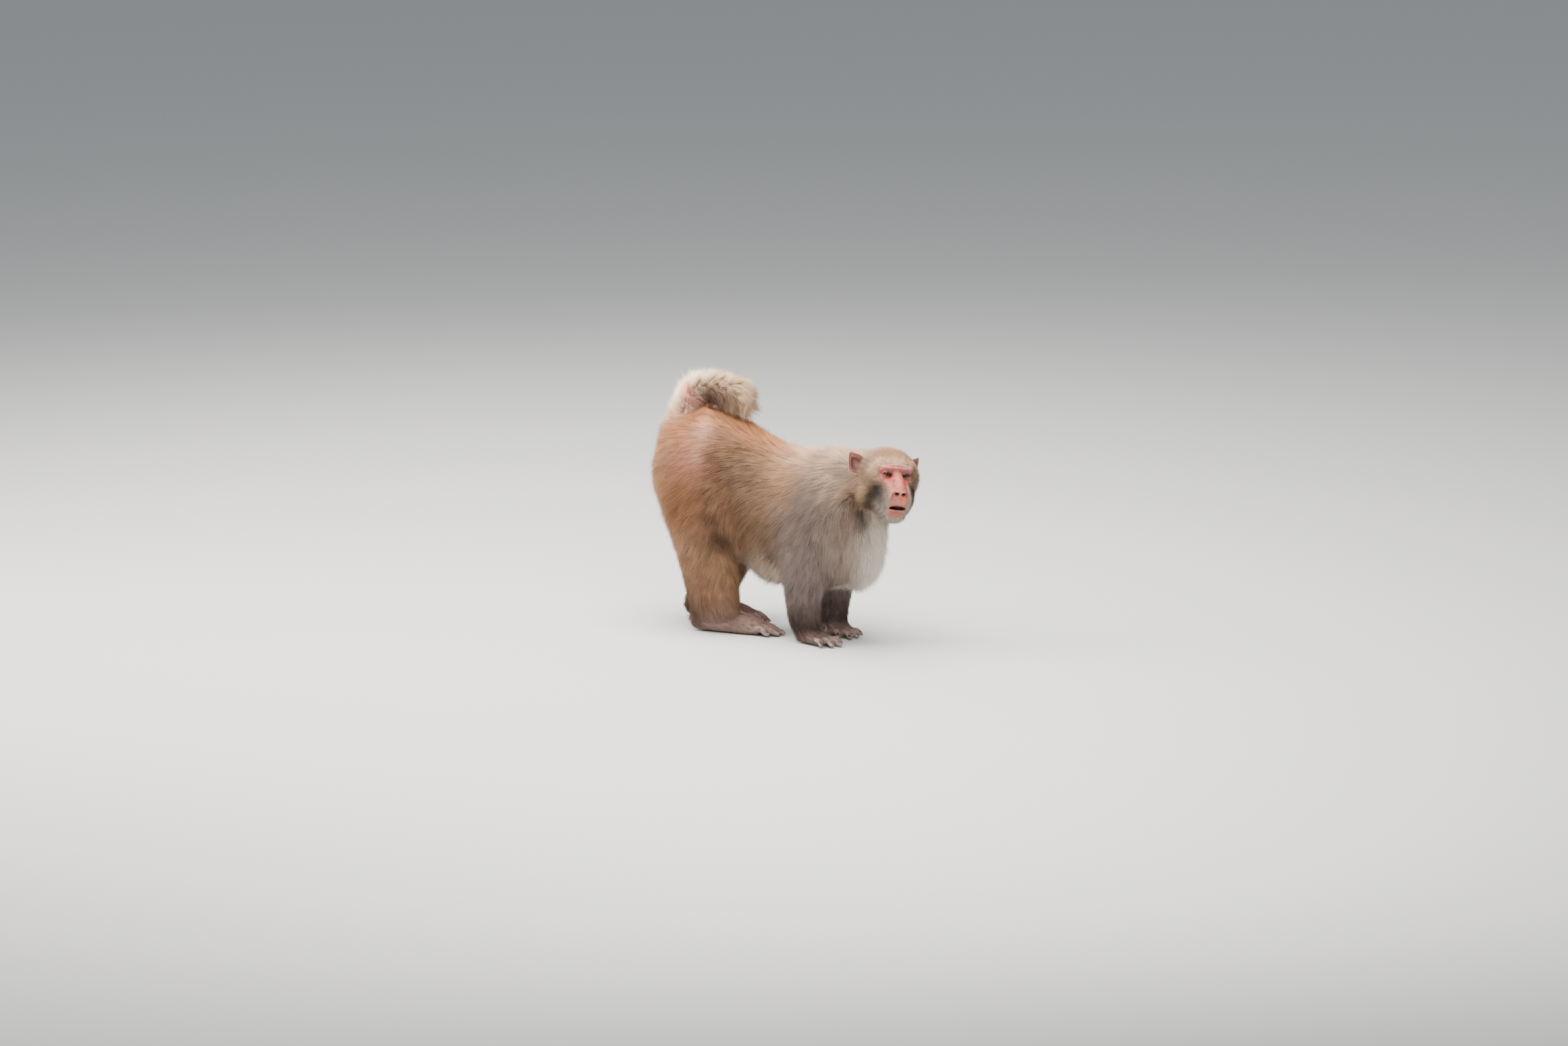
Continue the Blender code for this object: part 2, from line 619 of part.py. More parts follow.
def main():
    clear_scene()
    whole = flatten_soles(thin_out(body(), BODY_TRIANGLES))
    frame = head_matrix()
    turn = frame.to_3x3()
    made = {}
    for side, mirror in SIDES.items():
        seed = Vector(HIND["thigh"][side]) + Vector((mirror * 0.05, 0, 0))
        leg = take_off(f"leg_{side}", whole, sleeve("hind", side), seed)
        made[f"foot_{side}"] = take_off(
            f"foot_{side}", leg, slice_at((*HIND["ankle"][side][:2], JOINTS["ankle"]), (0, 0, 1), 0.12),
            (*HIND["hock"][side][:2], 0.0))
        made[f"shank_{side}"] = take_off(
            f"shank_{side}", leg, slice_at((*HIND["knee"][side][:2], JOINTS["knee"]), (0, 0, 1), 0.14),
            HIND["shin"][side])
        made[f"thigh_{side}"] = leg
        seed = Vector(FORE["upper_arm"][side]) + Vector((mirror * 0.05, 0, 0))
        arm = take_off(f"arm_{side}", whole, sleeve("fore", side), seed)
        made[f"hand_{side}"] = take_off(
            f"hand_{side}", arm, slice_at((*FORE["wrist"][side][:2], JOINTS["wrist"]), (0, 0, 1), 0.12),
            (*FORE["carpus"][side][:2], 0.0))
        made[f"forearm_{side}"] = take_off(
            f"forearm_{side}", arm, slice_at((*FORE["elbow"][side][:2], JOINTS["elbow"]), (0, 0, 1), 0.14),
            FORE["forearm"][side])
        made[f"upper_arm_{side}"] = arm
    behind_ears = frame @ Vector((-0.024, 0, -0.035))
    head = take_off("head", whole, slice_at(behind_ears, turn @ Vector((0.906, 0, 0.42)), 0.092),
                    frame @ Vector((0.09, 0, -0.03)))
    made["neck"] = take_off("neck", whole, slice_at((-0.014, -0.182, 0.290), (0, -0.87, 0.49), 0.115),
                            (-0.02, -0.20, 0.37))
    made["chest"] = take_off("chest", whole, slice_at((0, -0.030, 0.22), (0, 1, 0), 0.2), (0, -0.20, 0.2))
    made["hips"] = take_off("hips", whole, slice_at((0, 0.108, 0.26), (0, 1, 0), 0.2), (0, 0.25, 0.30))
    made["belly"] = whole
    made["tail"] = clear_of(thin_out(fuse("tail", [tail()], FINE_VOXEL, 3), 340), [made["hips"], whole])
    for side, mirror in SIDES.items():
        made[f"ear_{side}"] = clear_of(ear(side), [head, made["neck"]])
        centre = frame @ Vector((EYE_AT[0], EYE_AT[1] * mirror, EYE_AT[2]))
        boolean(head, ball("socket", centre, (EYE_RADIUS + GAP,) * 3, detail=2))
        made[f"eye_{side}"] = ball(f"eye_{side}", centre, (EYE_RADIUS,) * 3, detail=2)
    boolean(head, head_ball("mouth", MOUTH_AT, MOUTH_SIZE))
    keep_largest(head)
    made["head"] = head
    kinds = {"tail": "coat_pale", "hips": "coat_gold", "belly": "coat_gold", "thigh": "coat_gold",
             "shank": "coat_gold", "ear": "face_skin", "eye": "eye", "hand": "hand_skin",
             "foot": "hand_skin"}
    for name, thing in made.items():
        thing.name = thing.data.name = name
        keep_largest(thing)
        merge_flat(thing)
        coat(thing, kinds.get(name.split("_")[0], "coat_grey"))
        thing.data.shade_smooth()
        thing.data.set_sharp_from_angle(angle=math.radians(40))
    return stand_on_floor(list(made.values()))


def stand_on_floor(things):
    """Move all so that the middle of the underside of the whole body is the origin."""
    corners = np.array([tuple(v.co) for thing in things for v in thing.data.vertices])
    low, high = corners.min(0), corners.max(0)
    moved = Vector((-(low[0] + high[0]) / 2, -(low[1] + high[1]) / 2, -low[2]))
    for thing in things:
        thing.data.transform(Matrix.Translation(moved))
    return moved


moved = main()
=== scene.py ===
import math

import bmesh
import bpy
import numpy as np
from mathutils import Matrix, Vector
from mathutils.bvhtree import BVHTree
from mathutils.kdtree import KDTree


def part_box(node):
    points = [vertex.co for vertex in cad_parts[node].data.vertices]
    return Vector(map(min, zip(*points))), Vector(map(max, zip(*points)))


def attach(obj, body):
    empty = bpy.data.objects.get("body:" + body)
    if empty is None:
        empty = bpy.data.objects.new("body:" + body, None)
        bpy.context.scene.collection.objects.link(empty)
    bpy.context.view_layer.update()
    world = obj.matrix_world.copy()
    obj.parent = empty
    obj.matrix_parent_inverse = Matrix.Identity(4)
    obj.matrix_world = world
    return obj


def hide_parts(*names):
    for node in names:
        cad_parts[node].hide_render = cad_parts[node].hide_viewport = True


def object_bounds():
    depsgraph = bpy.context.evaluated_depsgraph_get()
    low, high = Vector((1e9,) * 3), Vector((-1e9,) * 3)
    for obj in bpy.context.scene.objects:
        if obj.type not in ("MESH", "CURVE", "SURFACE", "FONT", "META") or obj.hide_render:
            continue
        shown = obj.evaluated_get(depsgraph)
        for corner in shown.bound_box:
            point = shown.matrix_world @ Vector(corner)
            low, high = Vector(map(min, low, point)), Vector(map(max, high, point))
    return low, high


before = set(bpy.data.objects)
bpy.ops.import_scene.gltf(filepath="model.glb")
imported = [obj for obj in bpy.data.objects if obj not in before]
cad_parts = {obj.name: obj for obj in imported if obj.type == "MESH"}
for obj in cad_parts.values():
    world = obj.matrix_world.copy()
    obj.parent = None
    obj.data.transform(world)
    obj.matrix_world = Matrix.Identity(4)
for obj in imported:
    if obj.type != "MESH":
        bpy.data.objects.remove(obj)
startLow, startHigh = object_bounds()
print("frame loaded")

chance = np.random.default_rng(20)
nodeNames = sorted(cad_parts)
fleshNodes = [name for name in nodeNames if not name.startswith("eye")]
bodyNodes = [name for name in fleshNodes if not name.startswith("ear")]
pawNodes = ("hand_left", "hand_right", "foot_left", "foot_right")


def linear(colour):  # display values 0 to 255 into scene values
    shade = np.array(colour, float) / 255
    return np.where(shade <= 0.04045, shade / 12.92, ((shade + 0.055) / 1.055) ** 2.4)


def ramp(value, low, high):
    part = np.clip((value - low) / (high - low), 0, 1)
    return part * part * (3 - 2 * part)


def unit(rows):
    return rows / np.maximum(np.linalg.norm(rows, axis=-1, keepdims=True), 1e-9)


def dyeAndPaintLight(tint, colour, share):  # moves the tint towards a display colour, in place; it lays real colours and also painted shade and painted highlights
    tint += (linear(colour) - tint) * np.reshape(share, (-1, 1))


# 1 at the centre and 0 far off; a higher edge falls off more sharply
def nearness(places, centre, size, edge=1):
    return np.exp(-(((places - centre) / size) ** 2).sum(1) ** edge)


def kindOf(name):  # a node's name without its side
    return name.replace("_left", "").replace("_right", "")


wholeSize = np.array(startHigh - startLow)


def bothSides(share):  # the same place on either side, and how much each counts
    across, *rest = share
    weight = 0.5 if across == 0.5 else 1
    return [(np.array(startLow) + wholeSize * (side, *rest), weight) for side in (across, 1 - across)]


def pickOnly(*pieces):
    bpy.ops.object.select_all(action="DESELECT")
    for piece in pieces:
        piece.select_set(True)
    bpy.context.view_layer.objects.active = pieces[0]


def editWhole(piece, operator, **settings):  # an edit-mode operator on all of a piece
    pickOnly(piece)
    bpy.ops.object.mode_set(mode="EDIT")
    bpy.ops.mesh.select_all(action="SELECT")
    operator(**settings)
    bpy.ops.object.mode_set(mode="OBJECT")


def applyModifier(piece, kind, **settings):
    pickOnly(piece)
    step = piece.modifiers.new(kind.lower(), kind)
    for key, value in settings.items():
        setattr(step, key, value)
    bpy.ops.object.modifier_apply(modifier=step.name)


def newObject(name, data):
    piece = bpy.data.objects.new(name, data)
    bpy.context.scene.collection.objects.link(piece)
    return piece


def cells(rows, columns, closed, start=0):  # the four corners of each cell in a grid of points
    wide = columns if closed else columns + 1
    for row in range(rows):
        for column in range(columns):
            a, b = (start + row * wide + (column + step) % wide for step in (0, 1))
            yield a, b, b + wide, a + wide


def addPiece(name, points, triangles):
    mesh = bpy.data.meshes.new(name)
    mesh.vertices.add(len(points))
    mesh.vertices.foreach_set("co", np.asarray(points, np.float32).ravel())
    mesh.loops.add(len(triangles) * 3)
    mesh.loops.foreach_set("vertex_index", np.asarray(triangles, np.int32).ravel())
    mesh.polygons.add(len(triangles))
    mesh.polygons.foreach_set("loop_start", np.arange(len(triangles), dtype=np.int32) * 3)
    mesh.polygons.foreach_set("use_smooth", np.ones(len(triangles), bool))
    mesh.update(calc_edges=True)
    return newObject(name, mesh)


def pointsOf(piece):
    points = np.zeros(len(piece.data.vertices) * 3, np.float32)
    piece.data.vertices.foreach_get("co", points)
    return points.reshape(-1, 3).astype(float)


def trianglesOf(piece):
    corners = np.zeros(len(piece.data.loops), np.int32)
    piece.data.loops.foreach_get("vertex_index", corners)
    return corners.reshape(-1, 3)


def addTint(piece, tint):
    layer = piece.data.color_attributes.new("tint", "FLOAT_COLOR", "POINT")
    layer.data.foreach_set("color", np.column_stack([tint, np.ones(len(tint))]).astype(np.float32).ravel())


def addPatches(piece, places):  # one place on the bake map for each vertex
    layer = piece.data.uv_layers.new(name="OFBake")
    corners = trianglesOf(piece).ravel()
    layer.data.foreach_set("uv", places[corners].astype(np.float32).ravel())


# the head's own axes: ahead, left and up, from a point behind and above the middle between the eyes
eyesAhead, eyesBelow = 0.048, 0.006
eyeCentres = {}
for side in ("left", "right"):
    low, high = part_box("eye_" + side)
    eyeCentres[side] = np.array((low + high) / 2)
eyeLow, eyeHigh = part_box("eye_left")
eyeRadius = (eyeHigh - eyeLow).z / 2
headLeft = unit(eyeCentres["left"] - eyeCentres["right"])
headAhead = unit(np.cross(headLeft, (0, 0, 1)))
headUp = np.cross(headAhead, headLeft)
eyeSpread = np.linalg.norm(eyeCentres["left"] - eyeCentres["right"]) / 2
headOrigin = (eyeCentres["left"] + eyeCentres["right"]) / 2 - headAhead * eyesAhead + headUp * eyesBelow
headAxes = np.array([headAhead, headLeft, headUp])


def toHead(points):
    return (points - headOrigin) @ headAxes.T


def fromHead(places):
    return np.asarray(places) @ headAxes + headOrigin


skin = {
    "swell": 0.0007,  # metres each part grows, so that the parting gaps close
    "voxel": 0.0022,
    "share": 0.30,  # of the triangles kept
    "faceEdge": 0.0016,  # longest edges on the face, its features and round the eyes
    "featureEdge": 0.0009,
    "eyeEdge": 0.0006,
    "bodyRounds": 90,  # smoothing of trunk and limbs
    "fineRounds": 4,
    "thinnest": 0.36,  # largest share of a part's thickness taken by its coat
}

parts = []
for name in bodyNodes:
    part = newObject("skinPart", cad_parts[name].data.copy())
    editWhole(part, bpy.ops.mesh.remove_doubles, threshold=0.00001)
    applyModifier(part, "DISPLACE", strength=skin["swell"], mid_level=0.0)
    parts.append(part)
pickOnly(*parts)
bpy.ops.object.join()
skinPiece = parts[0]
skinPiece.name = skinPiece.data.name = "skin"
applyModifier(skinPiece, "REMESH", mode="VOXEL", voxel_size=skin["voxel"], adaptivity=0.0)
places = toHead(pointsOf(skinPiece))
group = skinPiece.vertex_groups.new(name="loose")
onFace = (places[:, 0] > 0.024) & (abs(places[:, 1]) < 0.038) & (abs(places[:, 2] + 0.034) < 0.056)
group.add(np.flatnonzero(~onFace).tolist(), 1.0, "REPLACE")
applyModifier(skinPiece, "DECIMATE", ratio=skin["share"], use_collapse_triangulate=True,
              vertex_group="loose", vertex_group_factor=10)
print("skin remeshed", len(skinPiece.data.polygons))


def refine(piece, chooser, longest):  # halves the longer edges that the chooser picks, then makes triangles
    work = bmesh.new()
    work.from_mesh(piece.data)
    for _ in range(3):
        work.verts.index_update()
        picked = chooser(toHead(np.array([vertex.co[:] for vertex in work.verts])))
        edges = [edge for edge in work.edges if edge.calc_length() > longest
                 and picked[edge.verts[0].index] and picked[edge.verts[1].index]]
        bmesh.ops.subdivide_edges(work, edges=edges, cuts=1)
        bmesh.ops.triangulate(work, faces=work.faces[:])
    work.to_mesh(piece.data)
    work.free()


def faceZone(places):
    return (places[:, 0] > 0.026) & (abs(places[:, 1]) < 0.036) & (places[:, 2] < 0.018)


def featureZone(places):
    eyes = np.hypot(abs(places[:, 1]) - 0.0172, places[:, 2] + 0.006) < 0.0135
    nose = (abs(places[:, 1]) < 0.012) & (abs(places[:, 2] + 0.032) < 0.009) & (places[:, 0] > 0.084)
    mouth = (abs(places[:, 1]) < 0.021) & (abs(places[:, 2] + 0.061) < 0.009) & (places[:, 0] > 0.066)
    return (places[:, 0] > 0.03) & (eyes | nose | mouth)


def eyeZone(places):
    eyes = np.hypot((abs(places[:, 1]) - 0.0172) / 1.25, places[:, 2] + 0.006) < 0.0075
    return (places[:, 0] > 0.03) & eyes


refine(skinPiece, faceZone, skin["faceEdge"])
refine(skinPiece, featureZone, skin["featureEdge"])
refine(skinPiece, eyeZone, skin["eyeEdge"])

points = pointsOf(skinPiece)
triangles = trianglesOf(skinPiece)
edges = np.concatenate([triangles[:, pair] for pair in ([0, 1], [1, 2], [2, 0])])
edges = np.unique(np.sort(edges, 1), axis=0)


def largestShell(points, triangles, edges):  # drops bubbles left inside
    label = np.arange(len(points))
    while True:
        low = np.minimum(label[edges[:, 0]], label[edges[:, 1]])
        fresh = label.copy()
        np.minimum.at(fresh, edges[:, 0], low)
        np.minimum.at(fresh, edges[:, 1], low)
        fresh = fresh[fresh]
        if (fresh == label).all():
            break
        label = fresh
    kept = label == np.bincount(label).argmax()
    place = np.cumsum(kept) - 1
    whole = kept[triangles].all(1)
    ends = kept[edges].all(1)
    return points[kept], place[triangles[whole]], place[edges[ends]]


points, triangles, edges = largestShell(points, triangles, edges)
print("skin points", len(points), "triangles", len(triangles))
degree = np.bincount(edges.ravel(), minlength=len(points)).astype(float)


def average(values):  # mean of each point's neighbours
    flat = values.reshape(len(values), -1)
    out = np.empty_like(flat)
    for column in range(flat.shape[1]):
        line = flat[:, column]
        total = np.bincount(edges[:, 0], line[edges[:, 1]], len(line))
        total += np.bincount(edges[:, 1], line[edges[:, 0]], len(line))
        out[:, column] = total / degree
    return out.reshape(values.shape)


def relax(values, rounds, strength):
    weight = strength if np.ndim(strength) == 0 or values.ndim == 1 else strength[:, None]
    for _ in range(rounds):
        values = values + (average(values) - values) * weight
    return values


def normalsOf(points):
    a, b, c = (points[triangles[:, corner]] for corner in range(3))
    flat = np.cross(b - a, c - a)
    total = np.zeros_like(points)
    for axis in range(3):
        for corner in range(3):
            total[:, axis] += np.bincount(triangles[:, corner], flat[:, axis], len(points))
    return unit(total)


owners, ownerPoints, ownerFaces = [], [], []
for index, name in enumerate(bodyNodes):
    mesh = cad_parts[name].data
    base = len(ownerPoints)
    ownerPoints += [vertex.co[:] for vertex in mesh.vertices]
    ownerFaces += [[base + corner for corner in face.vertices] for face in mesh.polygons]
    owners += [index] * len(mesh.polygons)
ownerTree = BVHTree.FromPolygons(ownerPoints, ownerFaces)
owners = np.array(owners)
label = owners[[ownerTree.find_nearest(place)[2] for place in points.tolist()]]
nodeIndex = {name: index for index, name in enumerate(bodyNodes)}


def onNode(*names):
    return np.isin(label, [nodeIndex[name] for name in names])


headPlace = toHead(points)
fine = onNode(*pawNodes).astype(float)
fine = np.maximum(fine, onNode("head") * ramp(headPlace[:, 0], -0.02, 0.03))
fine = relax(fine, 10, 0.5)
start = points.copy()
points = relax(points, skin["bodyRounds"], 0.5 * (1 - fine) ** 2)
points = relax(points, skin["fineRounds"], 0.5)
normals = normalsOf(points)
lost = relax(((start - points) * normals).sum(1), 40, 0.5)  # height lost in smoothing
points = points + normals * lost[:, None]
for _ in range(8):  # evens out the triangles without moving the surface
    slide = average(points) - points
    points = points + (slide - normals * (slide * normals).sum(1)[:, None]) * 0.5
normals = normalsOf(points)
print("skin smoothed")

tones = {  # display colours of the hair
    "golden": (204, 134, 82),
    "goldDeep": (166, 112, 74),
    "goldPale": (222, 168, 124),
    "rosy": (230, 172, 150),
    "backGold": (190, 126, 80),
    "backBuff": (228, 178, 134),
    "mantle": (224, 190, 162),
    "mantleGrey": (168, 144, 129),
    "flank": (148, 116, 90),
    "flankBuff": (180, 146, 118),
    "neckBrown": (140, 112, 90),
    "armGrey": (160, 140, 130),
    "taupe": (152, 135, 129),
    "taupeDark": (114, 96, 89),
    "armWhite": (214, 200, 188),
    "chestWhite": (255, 240, 226),
    "belly": (226, 202, 180),
    "tan": (176, 132, 98),
    "tanGrey": (104, 76, 59),
    "fingerPale": (182, 162, 152),
    "handGrey": (128, 106, 96),
    "footGrey": (182, 150, 138),
    "crown": (166, 118, 80),
    "brow": (188, 152, 122),
    "temple": (130, 104, 82),
    "ruffGold": (206, 168, 134),
    "ruffBrown": (120, 96, 74),
    # grey hair under the chin, darkened further with painted shade under the jaw
    "chin": (140, 124, 114),
    "throat": (124, 104, 88),
    "muzzle": (160, 142, 132),
    "tailCream": (255, 218, 180),
    "tailWhite": (255, 234, 208),
    # painted shade on the tail's underside by its base
    "tailDark": (104, 76, 58),
}

# place: share of the node's box from the middle outwards, front to back, bottom to top
# comb: outwards, back, up; then hair length and coat depth in mm, tone, share of dark streaks
guides = {
    "hips": [
        ((0.2, 0.5, 0.95), (0.0, 1.0, -0.05), 32, 12, "golden", 0.2),
        ((0.9, 0.3, 0.7), (0.0, 0.9, -0.35), 34, 12, "golden", 0.3),
        ((1.0, 0.5, 0.3), (0.0, 0.75, -0.65), 32, 12, "goldDeep", 0.3),
        ((0.3, 1.0, 0.3), (0.1, 0.3, -1.0), 28, 10, "goldPale", 0.1),
        ((0.2, 0.9, 0.9), (0.3, 1.0, 0.1), 26, 10, "rosy", 0.1),
    ],
    "belly": [
        ((0.0, 0.5, 1.0), (0.0, 1.0, -0.05), 36, 12, "backGold", 0.3),
        ((0.8, 0.5, 0.75), (0.0, 0.95, -0.3), 40, 14, "flank", 0.6),
        ((1.0, 0.5, 0.45), (0.0, 0.85, -0.5), 42, 14, "flank", 0.8),
        ((0.9, 0.5, 0.2), (0.0, 0.7, -0.7), 42, 16, "flankBuff", 0.4),
        ((0.0, 0.5, 0.0), (0.0, 0.6, -0.8), 36, 16, "belly", 0.1),
        ((0.6, 0.4, 0.0), (0.0, 0.5, -0.85), 40, 16, "belly", 0.1),
    ],
    "chest": [
        ((0.0, 0.1, 1.0), (0.0, 1.0, 0.05), 42, 20, "mantle", 0.3),
        ((0.0, 0.9, 1.0), (0.0, 1.0, -0.05), 40, 16, "backBuff", 0.3),
        ((0.8, 0.3, 0.8), (0.0, 0.75, -0.6), 44, 20, "mantle", 0.4),
        ((1.0, 0.5, 0.5), (0.0, 0.6, -0.8), 42, 18, "taupe", 0.6),
        ((0.9, 0.95, 0.75), (0.0, 0.95, -0.35), 42, 16, "backBuff", 0.5),
        ((1.0, 0.95, 0.4), (0.0, 0.8, -0.6), 42, 16, "flank", 0.7),
        ((0.75, 0.2, 0.7), (0.0, 0.4, -0.9), 42, 17, "neckBrown", 0.7),
        ((0.2, 0.0, 0.6), (0.0, 0.15, -1.0), 36, 14, "chestWhite", 0.1),
        ((0.35, 0.05, 0.35), (0.0, 0.1, -1.0), 40, 15, "chestWhite", 0.1),
        ((0.8, 0.20, 0.30), (0.0, 0.15, -1.0), 44, 16, "mantleGrey", 0.3),
        ((0.3, 0.10, 0.05), (0.2, -0.45, -0.9), 50, 18, "chestWhite", 0.0),
        ((0.2, 0.9, 0.0), (0.0, 0.5, -0.85), 36, 16, "belly", 0.1),
    ],
    "neck": [
        ((0.2, 0.5, 1.0), (0.0, 1.0, -0.05), 40, 18, "mantle", 0.3),
        ((1.0, 0.5, 0.6), (0.0, 0.75, -0.65), 42, 18, "mantleGrey", 0.5),
        ((1.0, 0.2, 0.3), (0.0, 0.4, -0.9), 40, 16, "neckBrown", 0.7),
        ((0.8, 0.0, 0.6), (0.0, 0.5, -0.85), 36, 14, "neckBrown", 0.7),
        ((0.2, 0.0, 0.1), (0.0, 0.2, -1.0), 36, 14, "throat", 0.1),
        ((0.6, 0.0, 0.05), (0.0, 0.2, -1.0), 36, 14, "chestWhite", 0.1),
    ],
    "upper_arm": [
        ((1.0, 0.5, 0.95), (0.0, 0.5, -0.9), 44, 16, "armGrey", 0.7),
        ((1.0, 0.5, 0.5), (0.0, 0.3, -0.95), 40, 14, "armGrey", 0.7),
        ((1.0, 0.4, 0.1), (0.0, 0.25, -1.0), 36, 12, "taupe", 0.5),
        ((0.0, 0.3, 0.5), (0.0, 0.15, -1.0), 36, 12, "armWhite", 0.1),
        ((0.6, 0.0, 0.4), (-0.2, 0.1, -1.0), 36, 12, "mantleGrey", 0.3),
        ((0.6, 1.0, 0.4), (0.0, 0.4, -0.9), 38, 14, "taupe", 0.4),
    ],
    "forearm": [
        ((1.0, 0.5, 0.6), (0.0, 0.35, -0.95), 30, 10, "taupe", 0.4),
        ((1.0, 0.5, 0.1), (0.0, 0.2, -1.0), 24, 7, "taupeDark", 0.4),
        ((0.0, 0.5, 0.6), (0.0, 0.2, -1.0), 28, 10, "taupe", 0.3),
        ((0.0, 0.5, 0.1), (0.0, 0.1, -1.0), 20, 6, "taupeDark", 0.3),
    ],
    "hand": [
        ((0.5, 0.9, 0.9), (0.0, -0.8, -0.7), 14, 4, "taupeDark", 0.3),
        ((0.5, 0.5, 0.6), (0.0, -1.0, -0.3), 15, 2.8, "handGrey", 0.4),
        ((0.5, 0.1, 0.3), (0.0, -1.0, -0.3), 11, 1.5, "fingerPale", 0.2),
    ],
    "thigh": [
        ((1.0, 0.4, 0.9), (0.0, 0.85, -0.5), 34, 12, "goldDeep", 0.3),
        ((1.0, 0.5, 0.5), (0.0, 0.5, -0.85), 36, 12, "goldDeep", 0.4),
        ((0.6, 0.0, 0.4), (0.0, 0.4, -0.95), 36, 12, "tan", 0.5),
        ((0.5, 1.0, 0.5), (0.0, 0.25, -1.0), 36, 12, "goldPale", 0.1),
        ((0.0, 0.5, 0.3), (0.0, 0.2, -1.0), 30, 10, "belly", 0.1),
    ],
    "shank": [
        ((1.0, 0.5, 0.7), (0.0, 0.25, -1.0), 38, 14, "tan", 0.4),
        ((1.0, 0.3, 0.3), (0.0, 0.25, -1.0), 34, 12, "tan", 0.3),
        ((0.0, 0.5, 0.5), (0.0, 0.2, -1.0), 32, 11, "flankBuff", 0.2),
        ((0.5, 0.5, 0.02), (0.0, 0.1, -1.0), 20, 6, "tanGrey", 0.3),
    ],
    "foot": [
        ((0.5, 1.0, 0.8), (0.0, -0.6, -0.8), 16, 5, "tanGrey", 0.3),
        ((0.5, 0.6, 0.8), (0.0, -1.0, -0.3), 15, 3.2, "footGrey", 0.4),
        ((0.5, 0.3, 0.5), (0.0, -1.0, -0.2), 11, 1.6, "footGrey", 0.3),
        ((0.5, 0.05, 0.3), (0.0, -1.0, -0.2), 9, 1.2, "footGrey", 0.2),
    ],
    "tail": [
        ((0.5, 1.0, 0.2), (0.0, 0.6, 0.8), 34, 20, "tailWhite", 0.0),
        ((0.5, 0.8, 0.9), (0.0, 0.1, 1.0), 32, 22, "tailWhite", 0.0),
        ((0.5, 0.5, 1.0), (0.0, -0.8, 0.5), 28, 18, "tailCream", 0.0),
        ((0.5, 0.1, 0.9), (0.0, -1.0, -0.2), 24, 12, "tailCream", 0.0),
        ((0.5, 0.0, 0.3), (0.0, -0.2, -1.0), 26, 13, "tailCream", 0.1),
        # painted shade on the underside near the tail's base
        ((0.5, 0.55, 0.25), (0.0, -0.6, -0.8), 20, 9, "tailDark", 0.1),
    ],
}

# the head's guides stand in its own axes: ahead, to either side, up, in metres
headGuides = [
    ((0.058, 0.000, 0.020), (-0.70, 0.0, 0.70), 9, 1.5, "brow", 0.1),
    ((0.045, 0.035, 0.012), (-0.70, 0.5, 0.45), 11, 3, "brow", 0.1),
    ((0.044, 0.000, 0.032), (-1.00, 0.0, 0.25), 13, 5, "crown", 0.2),
    ((0.020, 0.020, 0.036), (-1.00, 0.0, 0.10), 18, 7, "crown", 0.2),
    ((-0.010, 0.000, 0.040), (-1.00, 0.0, 0.00), 24, 8, "mantle", 0.2),
    ((0.020, 0.045, 0.000), (-0.95, 0.15, -0.15), 20, 8, "temple", 0.4),
    ((-0.020, 0.050, 0.020), (-1.00, 0.0, 0.00), 26, 9, "mantle", 0.2),
    ((0.045, 0.035, -0.030), (-0.70, 0.4, -0.50), 10, 3, "temple", 0.2),
    ((0.028, 0.042, -0.045), (-0.75, 0.3, -0.60), 20, 9, "ruffGold", 0.4),
    ((0.000, 0.050, -0.050), (-0.85, 0.15, -0.50), 32, 14, "ruffGold", 0.5),
    ((0.010, 0.035, -0.090), (-0.70, 0.1, -0.70), 32, 14, "ruffBrown", 0.5),
    ((-0.045, 0.050, -0.020), (-0.95, 0.0, -0.30), 32, 14, "mantleGrey", 0.5),
    ((-0.065, 0.000, 0.025), (-1.00, 0.0, -0.10), 34, 14, "mantle", 0.3),
    ((0.055, 0.027, -0.080), (-0.60, 0.2, -0.75), 16, 5, "chin", 0.4),
    ((0.080, 0.000, -0.088), (-0.20, 0.0, -1.00), 14, 4, "chin", 0.3),
    ((0.066, 0.000, -0.102), (-0.50, 0.0, -0.90), 16, 5, "ruffBrown", 0.3),
    ((0.030, 0.000, -0.098), (-0.60, 0.0, -0.80), 28, 12, "throat", 0.1),
    ((0.030, 0.025, -0.096), (-0.60, 0.1, -0.80), 26, 11, "ruffBrown", 0.5),
    ((0.072, 0.024, -0.052), (-0.75, 0.4, -0.50), 10, 2, "muzzle", 0.2),
]

# near black to dark brown on the hair and skin of the cheeks below the cheekbones, down to the jaw: place,
# half sizes, colour, strength
headMarks = [
    ((0.047, 0.0268, -0.0325), (0.034, 0.0098, 0.0120), (8, 6, 5), 1.0),
    ((0.045, 0.0305, -0.0440), (0.034, 0.0105, 0.0135), (24, 19, 15), 1.0),
    ((0.032, 0.0345, -0.0620), (0.026, 0.0105, 0.0150), (44, 34, 26), 0.92),
    ((0.012, 0.0360, -0.0880), (0.018, 0.0120, 0.0110), (62, 48, 36), 0.80),
]
